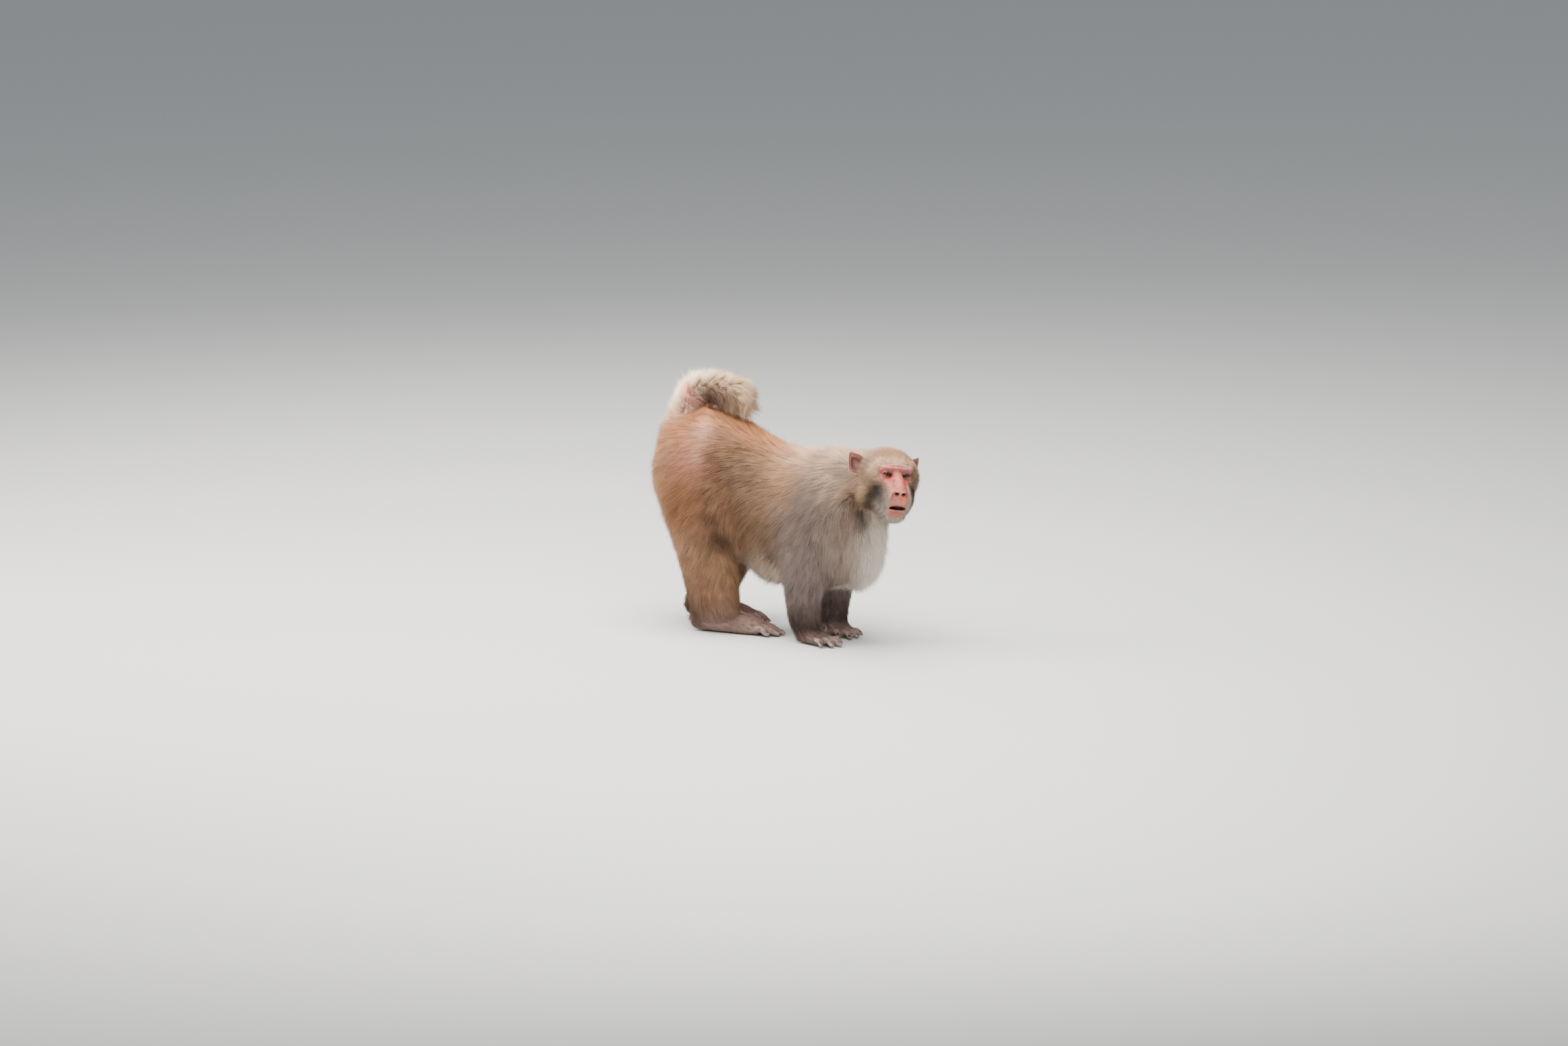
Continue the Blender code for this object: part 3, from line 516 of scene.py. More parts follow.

# darker and paler patches on the body's hair, on both sides, most of them painted shade and painted
# highlights: place in shares of the whole model, radius in metres, colour, strength
bodyTonesAndPaintedLight = [
    # painted shade in the crease between haunch and flank, and on the flank just in front of it
    ((0.158, 0.682, 0.405), 0.022, (66, 46, 34), 0.85),
    ((0.150, 0.697, 0.485), 0.013, (84, 60, 46), 0.75),
    ((0.188, 0.716, 0.557), 0.012, (98, 72, 55), 0.70),
    ((0.250, 0.730, 0.628), 0.012, (108, 80, 62), 0.65),
    ((0.312, 0.722, 0.702), 0.012, (120, 90, 70), 0.60),
    ((0.380, 0.697, 0.752), 0.012, (132, 100, 80), 0.45),
    ((0.290, 0.682, 0.655), 0.028, (104, 76, 56), 0.55),
    # painted highlights on the haunch, behind that crease
    ((0.300, 0.860, 0.720), 0.040, (250, 194, 150), 0.35),
    ((0.230, 0.775, 0.690), 0.030, (234, 164, 142), 0.60),
    ((0.370, 0.755, 0.755), 0.020, (252, 206, 188), 0.60),
    ((0.290, 0.765, 0.690), 0.014, (248, 196, 176), 0.45),
    ((0.500, 0.800, 0.880), 0.022, (234, 160, 146), 0.55),
    ((0.440, 0.930, 0.350), 0.024, (240, 212, 200), 0.60),
    ((0.290, 0.250, 0.470), 0.014, (112, 98, 90), 0.45),
    ((0.290, 0.260, 0.370), 0.016, (124, 112, 106), 0.40),
    ((0.290, 0.310, 0.270), 0.016, (116, 104, 98), 0.40),
    # painted shadow on the front of the neck, under the jaw
    ((0.300, 0.215, 0.600), 0.011, (92, 68, 50), 0.75),
    ((0.335, 0.213, 0.560), 0.012, (44, 32, 24), 0.90),
    ((0.365, 0.215, 0.515), 0.011, (40, 29, 22), 0.85),
    # painted shade low between the limbs, near the floor
    ((0.225, 0.415, 0.090), 0.028, (56, 42, 34), 0.75),
    ((0.350, 0.620, 0.315), 0.020, (244, 224, 204), 0.85),
    ((0.350, 0.570, 0.300), 0.022, (244, 224, 204), 0.90),
    ((0.350, 0.520, 0.285), 0.022, (244, 224, 204), 0.90),
    # painted shade on the flank along the back edge of the arm
    ((0.262, 0.512, 0.480), 0.012, (104, 78, 60), 0.55),
    ((0.264, 0.508, 0.420), 0.012, (86, 64, 50), 0.65),
    ((0.268, 0.504, 0.360), 0.012, (76, 56, 44), 0.70),
]
tailMarks = [
    # painted shadow under the tail's base, where it lies close over the rump
    ((0.440, 0.810, 0.902), 0.014, (44, 30, 22), 1.00),
    ((0.440, 0.770, 0.900), 0.013, (60, 42, 32), 1.00),
    ((0.440, 0.730, 0.895), 0.012, (96, 68, 52), 0.90),
    ((0.440, 0.880, 0.885), 0.013, (238, 148, 136), 0.70),
]

# where the coat hangs or stands off: place in shares of the whole model, radius in metres, how much farther
hangs = [
    ((0.500, 0.700, 0.865), 0.020, 2.4),
    ((0.500, 0.760, 0.865), 0.020, 2.4),
    ((0.430, 0.795, 0.865), 0.013, 2.2),
    ((0.660, 0.215, 0.270), 0.028, 1.0),
    ((0.500, 0.900, 0.950), 0.030, 0.6),
    ((0.340, 0.560, 0.275), 0.030, 0.9),
    ((0.300, 0.930, 0.620), 0.045, 0.5),
    ((0.500, 0.970, 0.780), 0.045, 0.5),
    ((0.500, 0.970, 0.600), 0.045, 0.5),
    ((0.200, 0.850, 0.450), 0.030, 0.4),
]

# bare pads behind: place in shares of the whole model, half sizes in metres, colour; both sides alike
sittingPads = {
    "place": (0.405, 0.960, 0.500),
    "size": (0.0170, 0.0300, 0.0230),
    "above": 0.010,  # how much higher the coat is left out, since it hangs over the pads
    "colour": (126, 82, 76),
}

# the bare face's half width at each height, in metres
bareOutline = [
    (-0.0785, -0.003), (-0.0765, 0.0095), (-0.0735, 0.0145), (-0.068, 0.0170), (-0.060, 0.0180),
    (-0.050, 0.0190), (-0.035, 0.0188), (-0.022, 0.0212), (-0.014, 0.0250), (-0.008, 0.0288),
    (0.000, 0.0298), (0.008, 0.0275), (0.0115, 0.0190), (0.0145, -0.003),
]


def boxShares(name, places):
    low, high = (np.array(corner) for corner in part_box(name))
    share = (places - low) / (high - low)
    if name.endswith("_right"):
        share[:, 0] = 1 - share[:, 0]
    elif not name.endswith("_left") and name != "tail":
        share[:, 0] = abs(share[:, 0] - 0.5) * 2
    return share


def outward(name, places):  # +1 where outwards is +x
    if name.endswith("_right"):
        return -np.ones(len(places))
    if name.endswith("_left"):
        return np.ones(len(places))
    low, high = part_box(name)
    return np.where(places[:, 0] > (low.x + high.x) / 2, 1.0, -1.0)


blend = {  # how sharply the nearest guide wins, and how far the values then spread
    "power": 3.0,
    "combRounds": 140,
    "toneRounds": 50,
}


def blendGuides(offsets, rows):  # offsets: points x guides x 3
    weight = 1 / ((offsets ** 2).sum(2) + 0.004) ** (blend["power"] / 2)
    weight /= weight.sum(1, keepdims=True)
    values = []
    for _, comb, long, deep, tone, streak in rows:
        values.append([*comb, long / 1000, deep / 1000, *linear(tones[tone]), streak])
    return weight @ np.array(values)


fields = np.zeros((len(points), 9))  # comb, length, depth, tone, streaks
for name in bodyNodes:
    mine = np.flatnonzero(onNode(name))
    if name == "head":
        places = headPlace[mine].copy()
        sign = np.where(places[:, 1] < 0, -1.0, 1.0)
        places[:, 1] = abs(places[:, 1])
        rows = headGuides
        offsets = (places[:, None] - np.array([row[0] for row in rows])[None]) / 0.06
        found = blendGuides(offsets, rows)
        comb = found[:, :3] * np.column_stack([np.ones(len(mine)), sign, np.ones(len(mine))])
        found[:, :3] = comb @ headAxes
    else:
        rows = guides[kindOf(name)]
        share = boxShares(name, points[mine])
        low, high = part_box(name)
        size = np.array(high - low) / max(high - low)
        offsets = (share[:, None] - np.array([row[0] for row in rows])[None]) * np.maximum(size, 0.5)
        found = blendGuides(offsets, rows)
        found[:, 0] *= outward(name, points[mine])
    fields[mine] = found
fields[:, :3] = unit(fields[:, :3])

faceness = onNode("head") * ramp(headPlace[:, 0], 0.0, 0.03)
hold = 0.5 * (1 - relax(faceness, 6, 0.5))
combs = relax(fields[:, :5], blend["combRounds"], hold)
fields = np.column_stack([combs, relax(fields[:, 5:], blend["toneRounds"], hold)])
fields = relax(fields, 6, 0.5)

aheadOf, asideOf, upOf = headPlace[:, 0], abs(headPlace[:, 1]), headPlace[:, 2]
faceEdge = np.interp(upOf, *np.array(bareOutline).T)
faceEdge = faceEdge + 0.0008 * np.sin(upOf * 1300) + 0.0006 * np.sin(upOf * 2900 + 1)  # a ragged hairline
frontness = ramp(aheadOf, 0.028, 0.036) * onNode("head")
bareFace = (1 - ramp(asideOf - faceEdge, -0.0035, 0.0035)) * frontness
shortHair = 1 - 0.45 * (1 - ramp(asideOf - faceEdge, -0.002, 0.007)) * frontness
lowFace = ramp(-upOf, 0.036, 0.046) * frontness

thin = np.zeros(len(points))
skinTree = BVHTree.FromPolygons(points.tolist(), triangles.tolist())
for index, (place, normal) in enumerate(zip(points.tolist(), normals.tolist())):
    inward = -Vector(normal)
    hit = skinTree.ray_cast(Vector(place) + inward * 0.001, inward)
    thin[index] = hit[3] if hit[3] is not None else 1.0
thin = relax(thin, 20, 0.5)
share = skin["thinnest"] + 0.08 * onNode("tail")
depth = np.minimum(fields[:, 4] * (1 - bareFace), thin * share)
depth = relax(depth, 8, 0.5 * (1 - bareFace))
points = points - normals * (depth + skin["swell"] * (1 - 1.6 * fine))[:, None]
points = relax(points, 8, 0.5 * (1 - relax(np.maximum(bareFace, fine * 0.8), 4, 0.5)))
print("coat fields laid", round(float(depth.max()), 4))

face = {
    "lidThick": 0.0010,
    "cornerIn": (-0.0080, -0.0014),  # eye corners and lid heights, outwards and up from the eye's middle
    "cornerOut": (0.0076, 0.0008),
    "upperLid": 0.0043,
    "lowerLid": 0.0031,
}

# place ahead, aside, up; half sizes; push ahead, aside, up; all in metres
strokes = [
    ("brow ridge", (0.060, 0.010, 0.0110), (0.016, 0.026, 0.0050), (-0.0034, 0, -0.0006)),
    ("under brow", (0.056, 0.016, 0.0022), (0.012, 0.010, 0.0026), (-0.0012, 0, 0)),
    ("brow hollow", (0.060, 0.000, 0.002), (0.012, 0.007, 0.004), (-0.0022, 0, 0)),
    ("inner socket", (0.056, 0.0095, -0.003), (0.010, 0.005, 0.007), (-0.0035, 0, 0)),
    ("nose ridge", (0.070, 0.000, -0.014), (0.016, 0.004, 0.012), (0.0010, 0, 0)),
    ("nose side", (0.074, 0.010, -0.024), (0.014, 0.005, 0.010), (-0.0022, 0, 0)),
    ("nose tip", (0.094, 0.000, -0.0290), (0.008, 0.0070, 0.0040), (0.0014, 0, 0)),
    ("nostril", (0.0955, 0.0060, -0.0345), (0.006, 0.0036, 0.0027), (-0.0070, 0, 0.0010)),
    ("nose wing", (0.090, 0.0100, -0.0320), (0.006, 0.0024, 0.0036), (0.0016, 0.0010, 0)),
    ("nose bridge", (0.096, 0.000, -0.036), (0.004, 0.0018, 0.004), (0.0010, 0, 0)),
    ("lip groove", (0.096, 0.000, -0.047), (0.005, 0.0016, 0.006), (-0.0008, 0, 0)),
    ("upper lip", (0.094, 0.008, -0.0555), (0.006, 0.010, 0.0026), (0.0012, 0, 0)),
    ("lower lip", (0.090, 0.000, -0.0675), (0.006, 0.013, 0.0030), (0.0016, 0, 0)),
    ("under lip", (0.088, 0.000, -0.0760), (0.006, 0.012, 0.0030), (-0.0012, 0, 0)),
    ("cheekbone", (0.050, 0.027, -0.022), (0.010, 0.007, 0.005), (0.0012, 0, 0)),
    ("muzzle side", (0.074, 0.017, -0.044), (0.014, 0.006, 0.010), (0.0010, 0.0012, 0)),
]

# grooves: points aside and up, half width, depth
grooves = [
    ([(0.003, 0.001), (0.0065, 0.004), (0.008, 0.008)], 0.0009, 0.0008),
    ([(0.0095, -0.013), (0.014, -0.0165), (0.020, -0.0168), (0.026, -0.0135)], 0.0008, 0.0010),
    ([(0.0075, -0.012), (0.012, -0.019), (0.019, -0.0205), (0.0265, -0.018)], 0.0009, 0.0009),
    ([(0.0070, -0.016), (0.0105, -0.023), (0.016, -0.0265)], 0.0009, 0.0006),
    ([(0.0055, -0.024), (0.0095, -0.0285), (0.0125, -0.034), (0.013, -0.040)], 0.0014, 0.0009),
    ([(0.0120, -0.034), (0.0155, -0.042), (0.0180, -0.052)], 0.0026, 0.0008),
    ([(0.0015, -0.008), (0.0035, -0.0065), (0.006, -0.007)], 0.0007, 0.0005),
    ([(0.0, 0.0045), (0.006, 0.0058), (0.012, 0.0045), (0.020, 0.0040)], 0.0009, 0.0006),
    ([(0.0, 0.0090), (0.010, 0.0102), (0.020, 0.0085)], 0.0009, 0.0004),
    ([(0.0, -0.043), (0.006, -0.044), (0.011, -0.047)], 0.0010, 0.0004),
    ([(0.0185, -0.061), (0.0195, -0.065), (0.0185, -0.069)], 0.0010, 0.0006),
    ([(0.0, -0.0765), (0.007, -0.0755), (0.0125, -0.0725)], 0.0014, 0.0010),
]


def lineDistance(places, line):
    nearest = np.full(len(places), 1.0)
    for start, end in zip(line[:-1], line[1:]):
        start, way = np.array(start), np.array(end) - np.array(start)
        share = np.clip(((places - start) @ way) / (way @ way), 0, 1)
        nearest = np.minimum(nearest, np.linalg.norm(places - start - share[:, None] * way, axis=1))
    return nearest


def lidDistance(aside, up):  # below 0 in the opening; also how far above the opening's middle line
    (inX, inY), (outX, outY) = face["cornerIn"], face["cornerOut"]
    share = np.clip((aside - inX) / (outX - inX), 0, 1)
    arch = np.sin(np.pi * share) ** 0.8
    middle = inY + (outY - inY) * share
    top, bottom = middle + face["upperLid"] * arch, middle - face["lowerLid"] * arch
    beyond = np.maximum(inX - aside, aside - outX)
    gap = np.maximum(up - top, bottom - up)
    outside = np.hypot(np.maximum(beyond, 0), np.maximum(gap, 0))
    inside = np.maximum(gap, beyond) * 0.8
    return np.where((gap < 0) & (beyond < 0), inside, outside), up - middle


def slitShare(places):  # 1 on the edge of the parted lips
    height = 0.0600 + 0.0012 * (places[:, 1] / 0.016) ** 2
    return np.sqrt(((places[:, 2] + height) / 0.0042) ** 2 + (places[:, 1] / 0.0176) ** 2)


def sculptFace(points):
    places = toHead(points)
    onFace = onNode("head") & (places[:, 0] > 0.03)
    sign = np.where(places[:, 1] < 0, -1.0, 1.0)
    half = places.copy()
    half[:, 1] = abs(half[:, 1])
    for _, centre, size, push in strokes:
        fall = nearness(half, centre, size) * onFace
        half += fall[:, None] * np.array(push)
    for line, width, deep in grooves:
        fall = np.exp(-(lineDistance(half[:, 1:], line) / width) ** 2) * onFace
        half[:, 0] -= fall * deep
    half[:, 0] -= 0.007 * (1 - ramp(slitShare(half), 0.55, 1.0)) * onFace * (half[:, 0] > 0.07)
    aside, up = half[:, 1] - eyeSpread, half[:, 2] + eyesBelow
    lid, above = lidDistance(aside, up)
    across = np.hypot(aside, up)
    outer = eyeRadius + 0.0002 + face["lidThick"] * (0.45 + 0.55 * ramp(lid, 0, 0.0012))
    dome = eyesAhead + np.sqrt(np.maximum(outer ** 2 - across ** 2, 0.003 ** 2))
    closeBy = (1 - ramp(lid, 0.0018, 0.0065)) * onFace * (across < 0.0092)
    half[:, 0] += (dome - half[:, 0]) * closeBy
    cover = eyesAhead + np.sqrt(np.maximum((eyeRadius + 0.0006) ** 2 - across ** 2, 0))
    half[:, 0] = np.where(onFace & (across < eyeRadius), np.maximum(half[:, 0], cover), half[:, 0])
    for lidSide, distance, deep in ((above > 0, 0.0028, 0.0006), (above <= 0, 0.0024, 0.0004)):  # lid creases
        half[:, 0] -= np.exp(-((lid - distance) / 0.0006) ** 2) * deep * lidSide * onFace * (across < 0.012)
    opening = (lid < 0) & onFace & (across < 0.0095)
    sunk = eyesAhead + np.sqrt(np.maximum((eyeRadius - 0.0016) ** 2 - across ** 2, 0.002 ** 2))
    half[:, 0] = np.where(opening, np.minimum(half[:, 0], sunk), half[:, 0])
    places = half
    places[:, 1] *= sign
    return np.where(onFace[:, None], fromHead(places), points)


points = sculptFace(points)
headPlace = toHead(points)
normals = normalsOf(points)
print("face shaped")

skinTones = {
    "body": (176, 134, 116),
    "hand": (150, 124, 116),
    "palm": (92, 74, 70),
    "face": (170, 88, 73),
    "lidRim": (58, 26, 26),
    # the inside of the parted lips, near black as painted shade
    "mouth": (40, 14, 14),
}

# place, half sizes (ahead, aside, up), colour, strength; both sides alike
faceTints = [
    # a paler pink band along the brow ridge: a painted highlight
    ((0.058, 0.000, 0.008), (0.02, 0.030, 0.005), (208, 136, 124), 0.8),
    # red skin at the outer eye corners, darkened further with painted shade
    ((0.052, 0.0280, -0.0035), (0.02, 0.0065, 0.0050), (126, 36, 38), 0.95),
    ((0.052, 0.0175, 0.0012), (0.02, 0.008, 0.0032), (130, 82, 91), 0.85),
    ((0.052, 0.0175, -0.0135), (0.02, 0.010, 0.0030), (156, 60, 58), 0.80),
    ((0.052, 0.0200, -0.0190), (0.02, 0.007, 0.0025), (180, 86, 78), 0.60),
    ((0.056, 0.0080, -0.0050), (0.02, 0.003, 0.006), (140, 60, 60), 0.80),
    ((0.064, 0.000, 0.000), (0.02, 0.009, 0.006), (122, 62, 58), 0.70),
    ((0.070, 0.000, -0.016), (0.03, 0.005, 0.010), (188, 106, 94), 0.6),
    # painted shade down the sides of the nose
    ((0.070, 0.014, -0.028), (0.02, 0.005, 0.008), (167, 89, 76), 0.5),
    # a painted highlight on the tip of the nose
    ((0.095, 0.000, -0.030), (0.01, 0.011, 0.005), (214, 140, 120), 0.8),
    ((0.095, 0.0100, -0.0340), (0.01, 0.003, 0.005), (146, 76, 62), 0.75),
    # painted shade in a narrow line down each side of the nose
    ((0.072, 0.0115, -0.0240), (0.03, 0.0032, 0.0100), (134, 66, 58), 0.6),
    ((0.090, 0.000, -0.049), (0.02, 0.018, 0.007), (180, 104, 86), 0.75),
    ((0.090, 0.000, -0.0555), (0.02, 0.018, 0.0016), (112, 56, 52), 0.7),
    ((0.088, 0.000, -0.069), (0.02, 0.015, 0.004), (118, 66, 64), 0.85),
    ((0.080, 0.020, -0.052), (0.03, 0.006, 0.014), (124, 86, 78), 0.75),
    # the nostrils' insides, near black as painted shade
    ((0.0935, 0.0060, -0.0342), (0.010, 0.0042, 0.0030), (22, 6, 6), 1.0),
    ((0.0935, 0.0060, -0.0342), (0.010, 0.0030, 0.0022), (9, 3, 3), 1.0),
]

for part, marks in ((1, bodyTonesAndPaintedLight), (onNode("tail"), tailMarks)):  # the tail's own marks stay on the tail
    for share, radius, colour, strength in marks:
        for centre, weight in bothSides(share):
            fall = np.exp(-((points - centre) ** 2).sum(1) / radius ** 2) * strength * (1 - faceness) * part
            dyeAndPaintLight(fields[:, 5:8], colour, fall * weight)

halfPlace = headPlace.copy()
halfPlace[:, 1] = abs(halfPlace[:, 1])
for centre, size, colour, strength in headMarks:
    dyeAndPaintLight(fields[:, 5:8], colour, nearness(halfPlace, centre, size, 1.6) * strength * onNode("head"))
onRump = onNode("hips", "thigh_left", "thigh_right")


def paintSkin():
    tint = fields[:, 5:8] * 0.75
    dyeAndPaintLight(tint, skinTones["body"], 0.2)
    handy = relax(onNode(*pawNodes).astype(float), 8, 0.5)
    dyeAndPaintLight(tint, skinTones["hand"], handy)
    dyeAndPaintLight(tint, skinTones["palm"], handy * ramp(-normals[:, 2], 0.3, 0.8))
    dyeAndPaintLight(tint, skinTones["face"], relax(bareFace, 3, 0.5))
    head = onNode("head")
    for centre, size, colour, strength in faceTints + headMarks:
        dyeAndPaintLight(tint, colour, nearness(halfPlace, centre, size, 1.3) * strength * head)
    for centre, _ in bothSides(sittingPads["place"]):
        fall = nearness(points, centre, sittingPads["size"]) * onRump
        dyeAndPaintLight(tint, sittingPads["colour"], np.clip(fall * 1.5, 0, 1))
    lid, _ = lidDistance(halfPlace[:, 1] - eyeSpread, halfPlace[:, 2] + eyesBelow)
    # painted shade in the face's grooves, darker where a groove is deeper
    for line, width, deep in grooves:
        fall = np.exp(-(lineDistance(halfPlace[:, 1:], line) / (width * 0.9)) ** 2)
        fall = fall * (halfPlace[:, 0] > 0.04) * head
        tint *= 1 - 0.42 * (fall * deep / 0.0012)[:, None]
    dyeAndPaintLight(tint, skinTones["lidRim"], np.exp(-(lid / 0.0009) ** 2) * head * (halfPlace[:, 0] > 0.04) * 0.92)
    # painted shade inside the parted lips
    mouth = 1 - ramp(slitShare(halfPlace), 0.85, 1.08)
    dyeAndPaintLight(tint, skinTones["mouth"], mouth * (halfPlace[:, 0] > 0.060) * head)
    return tint


skinTint = paintSkin()

ear = {
    "rim": 0.0016,  # metres
    "thick": 0.0011,
    "cup": 0.004,
    "seated": 0.0045,
    "splay": 38,  # degrees the ear stands off the head, and leans back
    "tilt": 8,
    "tall": 0.87,  # half height and half width, in shares of the CAD ear's half height
    "wide": 0.45,
    "pulled": {"left": 0.40, "right": 0.08},  # how far the whole ear follows its front edge onto the head
    "rimColour": (132, 82, 70),
    "bowlColour": (80, 42, 36),
    "backColour": (150, 110, 98),
}

fineHairs = {  # number, length and width in mm, colour
    "ear": (150, 4, 0.20, (214, 196, 180)),
    "earFront": (300, 8, 0.24, (186, 160, 138)),
    "earBack": (420, 7, 0.30, (190, 168, 150)),
    "chinHairs": (700, 6.5, 0.26, (196, 182, 172)),
    "muzzleHairs": (1100, 5.5, 0.20, (186, 166, 154)),
    "browHairs": (500, 4.5, 0.22, (206, 176, 156)),
    "chinWhiskers": (30, 20, 0.18, (236, 228, 220)),
    "lipHairs": (64, 2.8, 0.20, (172, 144, 134)),
}


def makeEar(side):
    low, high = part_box("ear_" + side)
    centre = toHead(np.array((low + high) / 2)[None])[0]
    sign = 1 if side == "left" else -1
    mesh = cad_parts["ear_" + side].data
    corners = toHead(np.array([vertex.co[:] for vertex in mesh.vertices]))
    reach = (corners.max(0) - corners.min(0)) / 2
    splay, tilt = math.radians(ear["splay"]), math.radians(ear["tilt"])
    back = np.array([-math.cos(splay), sign * math.sin(splay), 0])
    out = np.array([math.sin(splay), sign * math.cos(splay), 0])
    upward = np.array([0, 0, 1]) * math.cos(tilt) + back * math.sin(tilt)
    tall, wide = reach[2] * ear["tall"], reach[2] * ear["wide"]
    rows, columns = 26, 40
    front, rear = [], []
    for row in range(rows + 1):
        share = row / rows
        for column in range(columns):
            turn = 2 * math.pi * column / columns
            x, z = (math.copysign(abs(axis) ** 0.8, axis) for axis in (math.cos(turn), math.sin(turn)))
            radius = 1 + 0.12 * max(0.0, x * 0.7 + z * 0.72) ** 6
            px, pz = x * wide * share * radius, z * tall * share * radius
            curl = math.exp(-((share - 0.93) / 0.07) ** 2) * ear["rim"] * (0.4 + 0.6 * (x > -0.5))
            bowl = ear["cup"] * (share ** 2 - 0.55)
            ridge = 0.0026 * math.exp(-((share - 0.62) / 0.09) ** 2) * (0.5 + 0.5 * x)
            hollow = ((px + wide * 0.35) / 0.006) ** 2 + ((pz + tall * 0.12) / 0.008) ** 2
            depth = bowl + curl + ridge - 0.0028 * math.exp(-hollow)
            spot = centre + back * px + upward * pz
            front.append(spot + out * (depth + ear["thick"]))
            rear.append(spot + out * (depth - ear["thick"] * (1 - 0.3 * share)))
    spots = np.array(front + rear)
    count = (rows + 1) * columns
    faces = []
    for a, b, c, d in cells(rows, columns, True):
        faces += [(a, c, b), (a, d, c)]
        faces += [(count + a, count + b, count + c), (count + a, count + c, count + d)]
    for column in range(columns):
        a, b = (rows * columns + (column + step) % columns for step in (0, 1))
        faces += [(a, count + a, count + b), (a, count + b, b)]
    if sign > 0:
        faces = [(a, c, b) for a, b, c in faces]
    share = np.repeat(np.linspace(0, 1, rows + 1), columns)
    rimTone, bowlTone = linear(ear["rimColour"]), linear(ear["bowlColour"])
    tint = rimTone + (bowlTone - rimTone) * np.exp(-((share - 0.45) / 0.24) ** 2)[:, None]
    tint = np.concatenate([tint, np.tile(linear(ear["backColour"]), (count, 1))])
    spots = fromHead(spots)
    seat = fromHead((centre - back * wide)[None])[0]
    found = headTree.find_nearest(seat)
    shift = np.array(found[0]) - np.array(found[1]) * ear["seated"] - seat
    across = (toHead(spots) - centre) @ back / wide
    pulled = ear["pulled"][side] + (1 - ear["pulled"][side]) * ramp(-across, -0.5, 0.95) ** 1.3
    spots = spots + shift * pulled[:, None]
    rim = spots[rows * columns:count]
    outer = unit(rim - rim.mean(0)) + (out * 0.35) @ headAxes
    earRims.append((rim, unit(outer + np.array([0, 0.35, 0.1]))))
    behind = chance.choice(np.arange(count + 4 * columns, 2 * count), fineHairs["earBack"][0])
    way = (back + out * -0.5 + np.array([0, 0, 0.5])) @ headAxes
    earBacks.append((spots[behind], way))
    return spots, np.array(faces), tint


headTree = BVHTree.FromPolygons(points.tolist(), triangles.tolist())
earBacks = []
earRims = []
earSpots, earFaces, earTints = [], [], []
offset = len(points)
for side in ("left", "right"):
    spots, faces, tint = makeEar(side)
    earSpots.append(spots)
    earFaces.append(faces + offset)
    earTints.append(tint)
    offset += len(spots)

bpy.data.objects.remove(skinPiece)
skinPiece = addPiece("skin", np.concatenate([points, *earSpots]), np.concatenate([triangles, *earFaces]))
addTint(skinPiece, np.concatenate([skinTint, *earTints]))
editWhole(skinPiece, bpy.ops.uv.smart_project, angle_limit=math.radians(66), island_margin=0.002)
skinPiece.data.uv_layers[0].name = "OFBake"
skinMap = np.zeros(len(skinPiece.data.loops) * 2, np.float32)
skinPiece.data.uv_layers[0].data.foreach_get("uv", skinMap)
skinMap = skinMap.reshape(-1, 3, 2)
print("skin unwrapped", len(skinPiece.data.polygons))

def newGroup(name, inputs, outputs):
    group = bpy.data.node_groups.new(name, "ShaderNodeTree")
    for label, kind, value in inputs:
        socket = group.interface.new_socket(name=label, in_out="INPUT", socket_type=kind)
        socket.default_value = value
    for label, kind in outputs:
        group.interface.new_socket(name=label, in_out="OUTPUT", socket_type=kind)
    return group, group.nodes.new("NodeGroupInput"), group.nodes.new("NodeGroupOutput")


def mathNode(group, operation, *values):  # numbers are set and sockets are linked
    node = group.nodes.new("ShaderNodeMath")
    node.operation = operation
    for socket, value in zip(node.inputs, values):
        if isinstance(value, float):
            socket.default_value = value
        else:
            group.links.new(value, socket)
    return node.outputs[0]


def noiseNode(group, kind, scale):  # a texture on the object's own coordinates
    noise = group.nodes.new(kind)
    place = group.nodes.new("ShaderNodeTexCoord")
    group.links.new(place.outputs["Object"], noise.inputs["Vector"])
    if isinstance(scale, float):
        noise.inputs["Scale"].default_value = scale
    else:
        group.links.new(scale, noise.inputs["Scale"])
    return noise


def varyTone(group, sink, noise, spread, roughness):  # the tint, paler and darker as the noise goes
    add, link = group.nodes.new, group.links.new
    tint = add("ShaderNodeAttribute")
    tint.attribute_name = "tint"
    gain = mathNode(group, "MULTIPLY_ADD", mathNode(group, "SUBTRACT", noise, 0.5), spread, 1.0)
    scaled = add("ShaderNodeVectorMath")
    scaled.operation = "SCALE"
    link(tint.outputs["Color"], scaled.inputs[0])
    link(gain, scaled.inputs["Scale"])
    link(scaled.outputs[0], sink.inputs["Color"])
    rough = add("ShaderNodeMapRange")
    rough.inputs["To Min"].default_value, rough.inputs["To Max"].default_value = roughness
    link(noise, rough.inputs["Value"])
    link(rough.outputs["Result"], sink.inputs["Roughness"])


def hairTone():  # fine variation along and between hairs
    group, source, sink = newGroup(
        "hairTone",
        [("Grain", "NodeSocketFloat", 420.0), ("Spread", "NodeSocketFloat", 0.22)],
        [("Color", "NodeSocketColor"), ("Roughness", "NodeSocketFloat")],
    )
    noise = noiseNode(group, "ShaderNodeTexNoise", source.outputs["Grain"])
    noise.inputs["Detail"].default_value = 2
    varyTone(group, sink, noise.outputs["Fac"], source.outputs["Spread"], (0.5, 0.72))
    return group


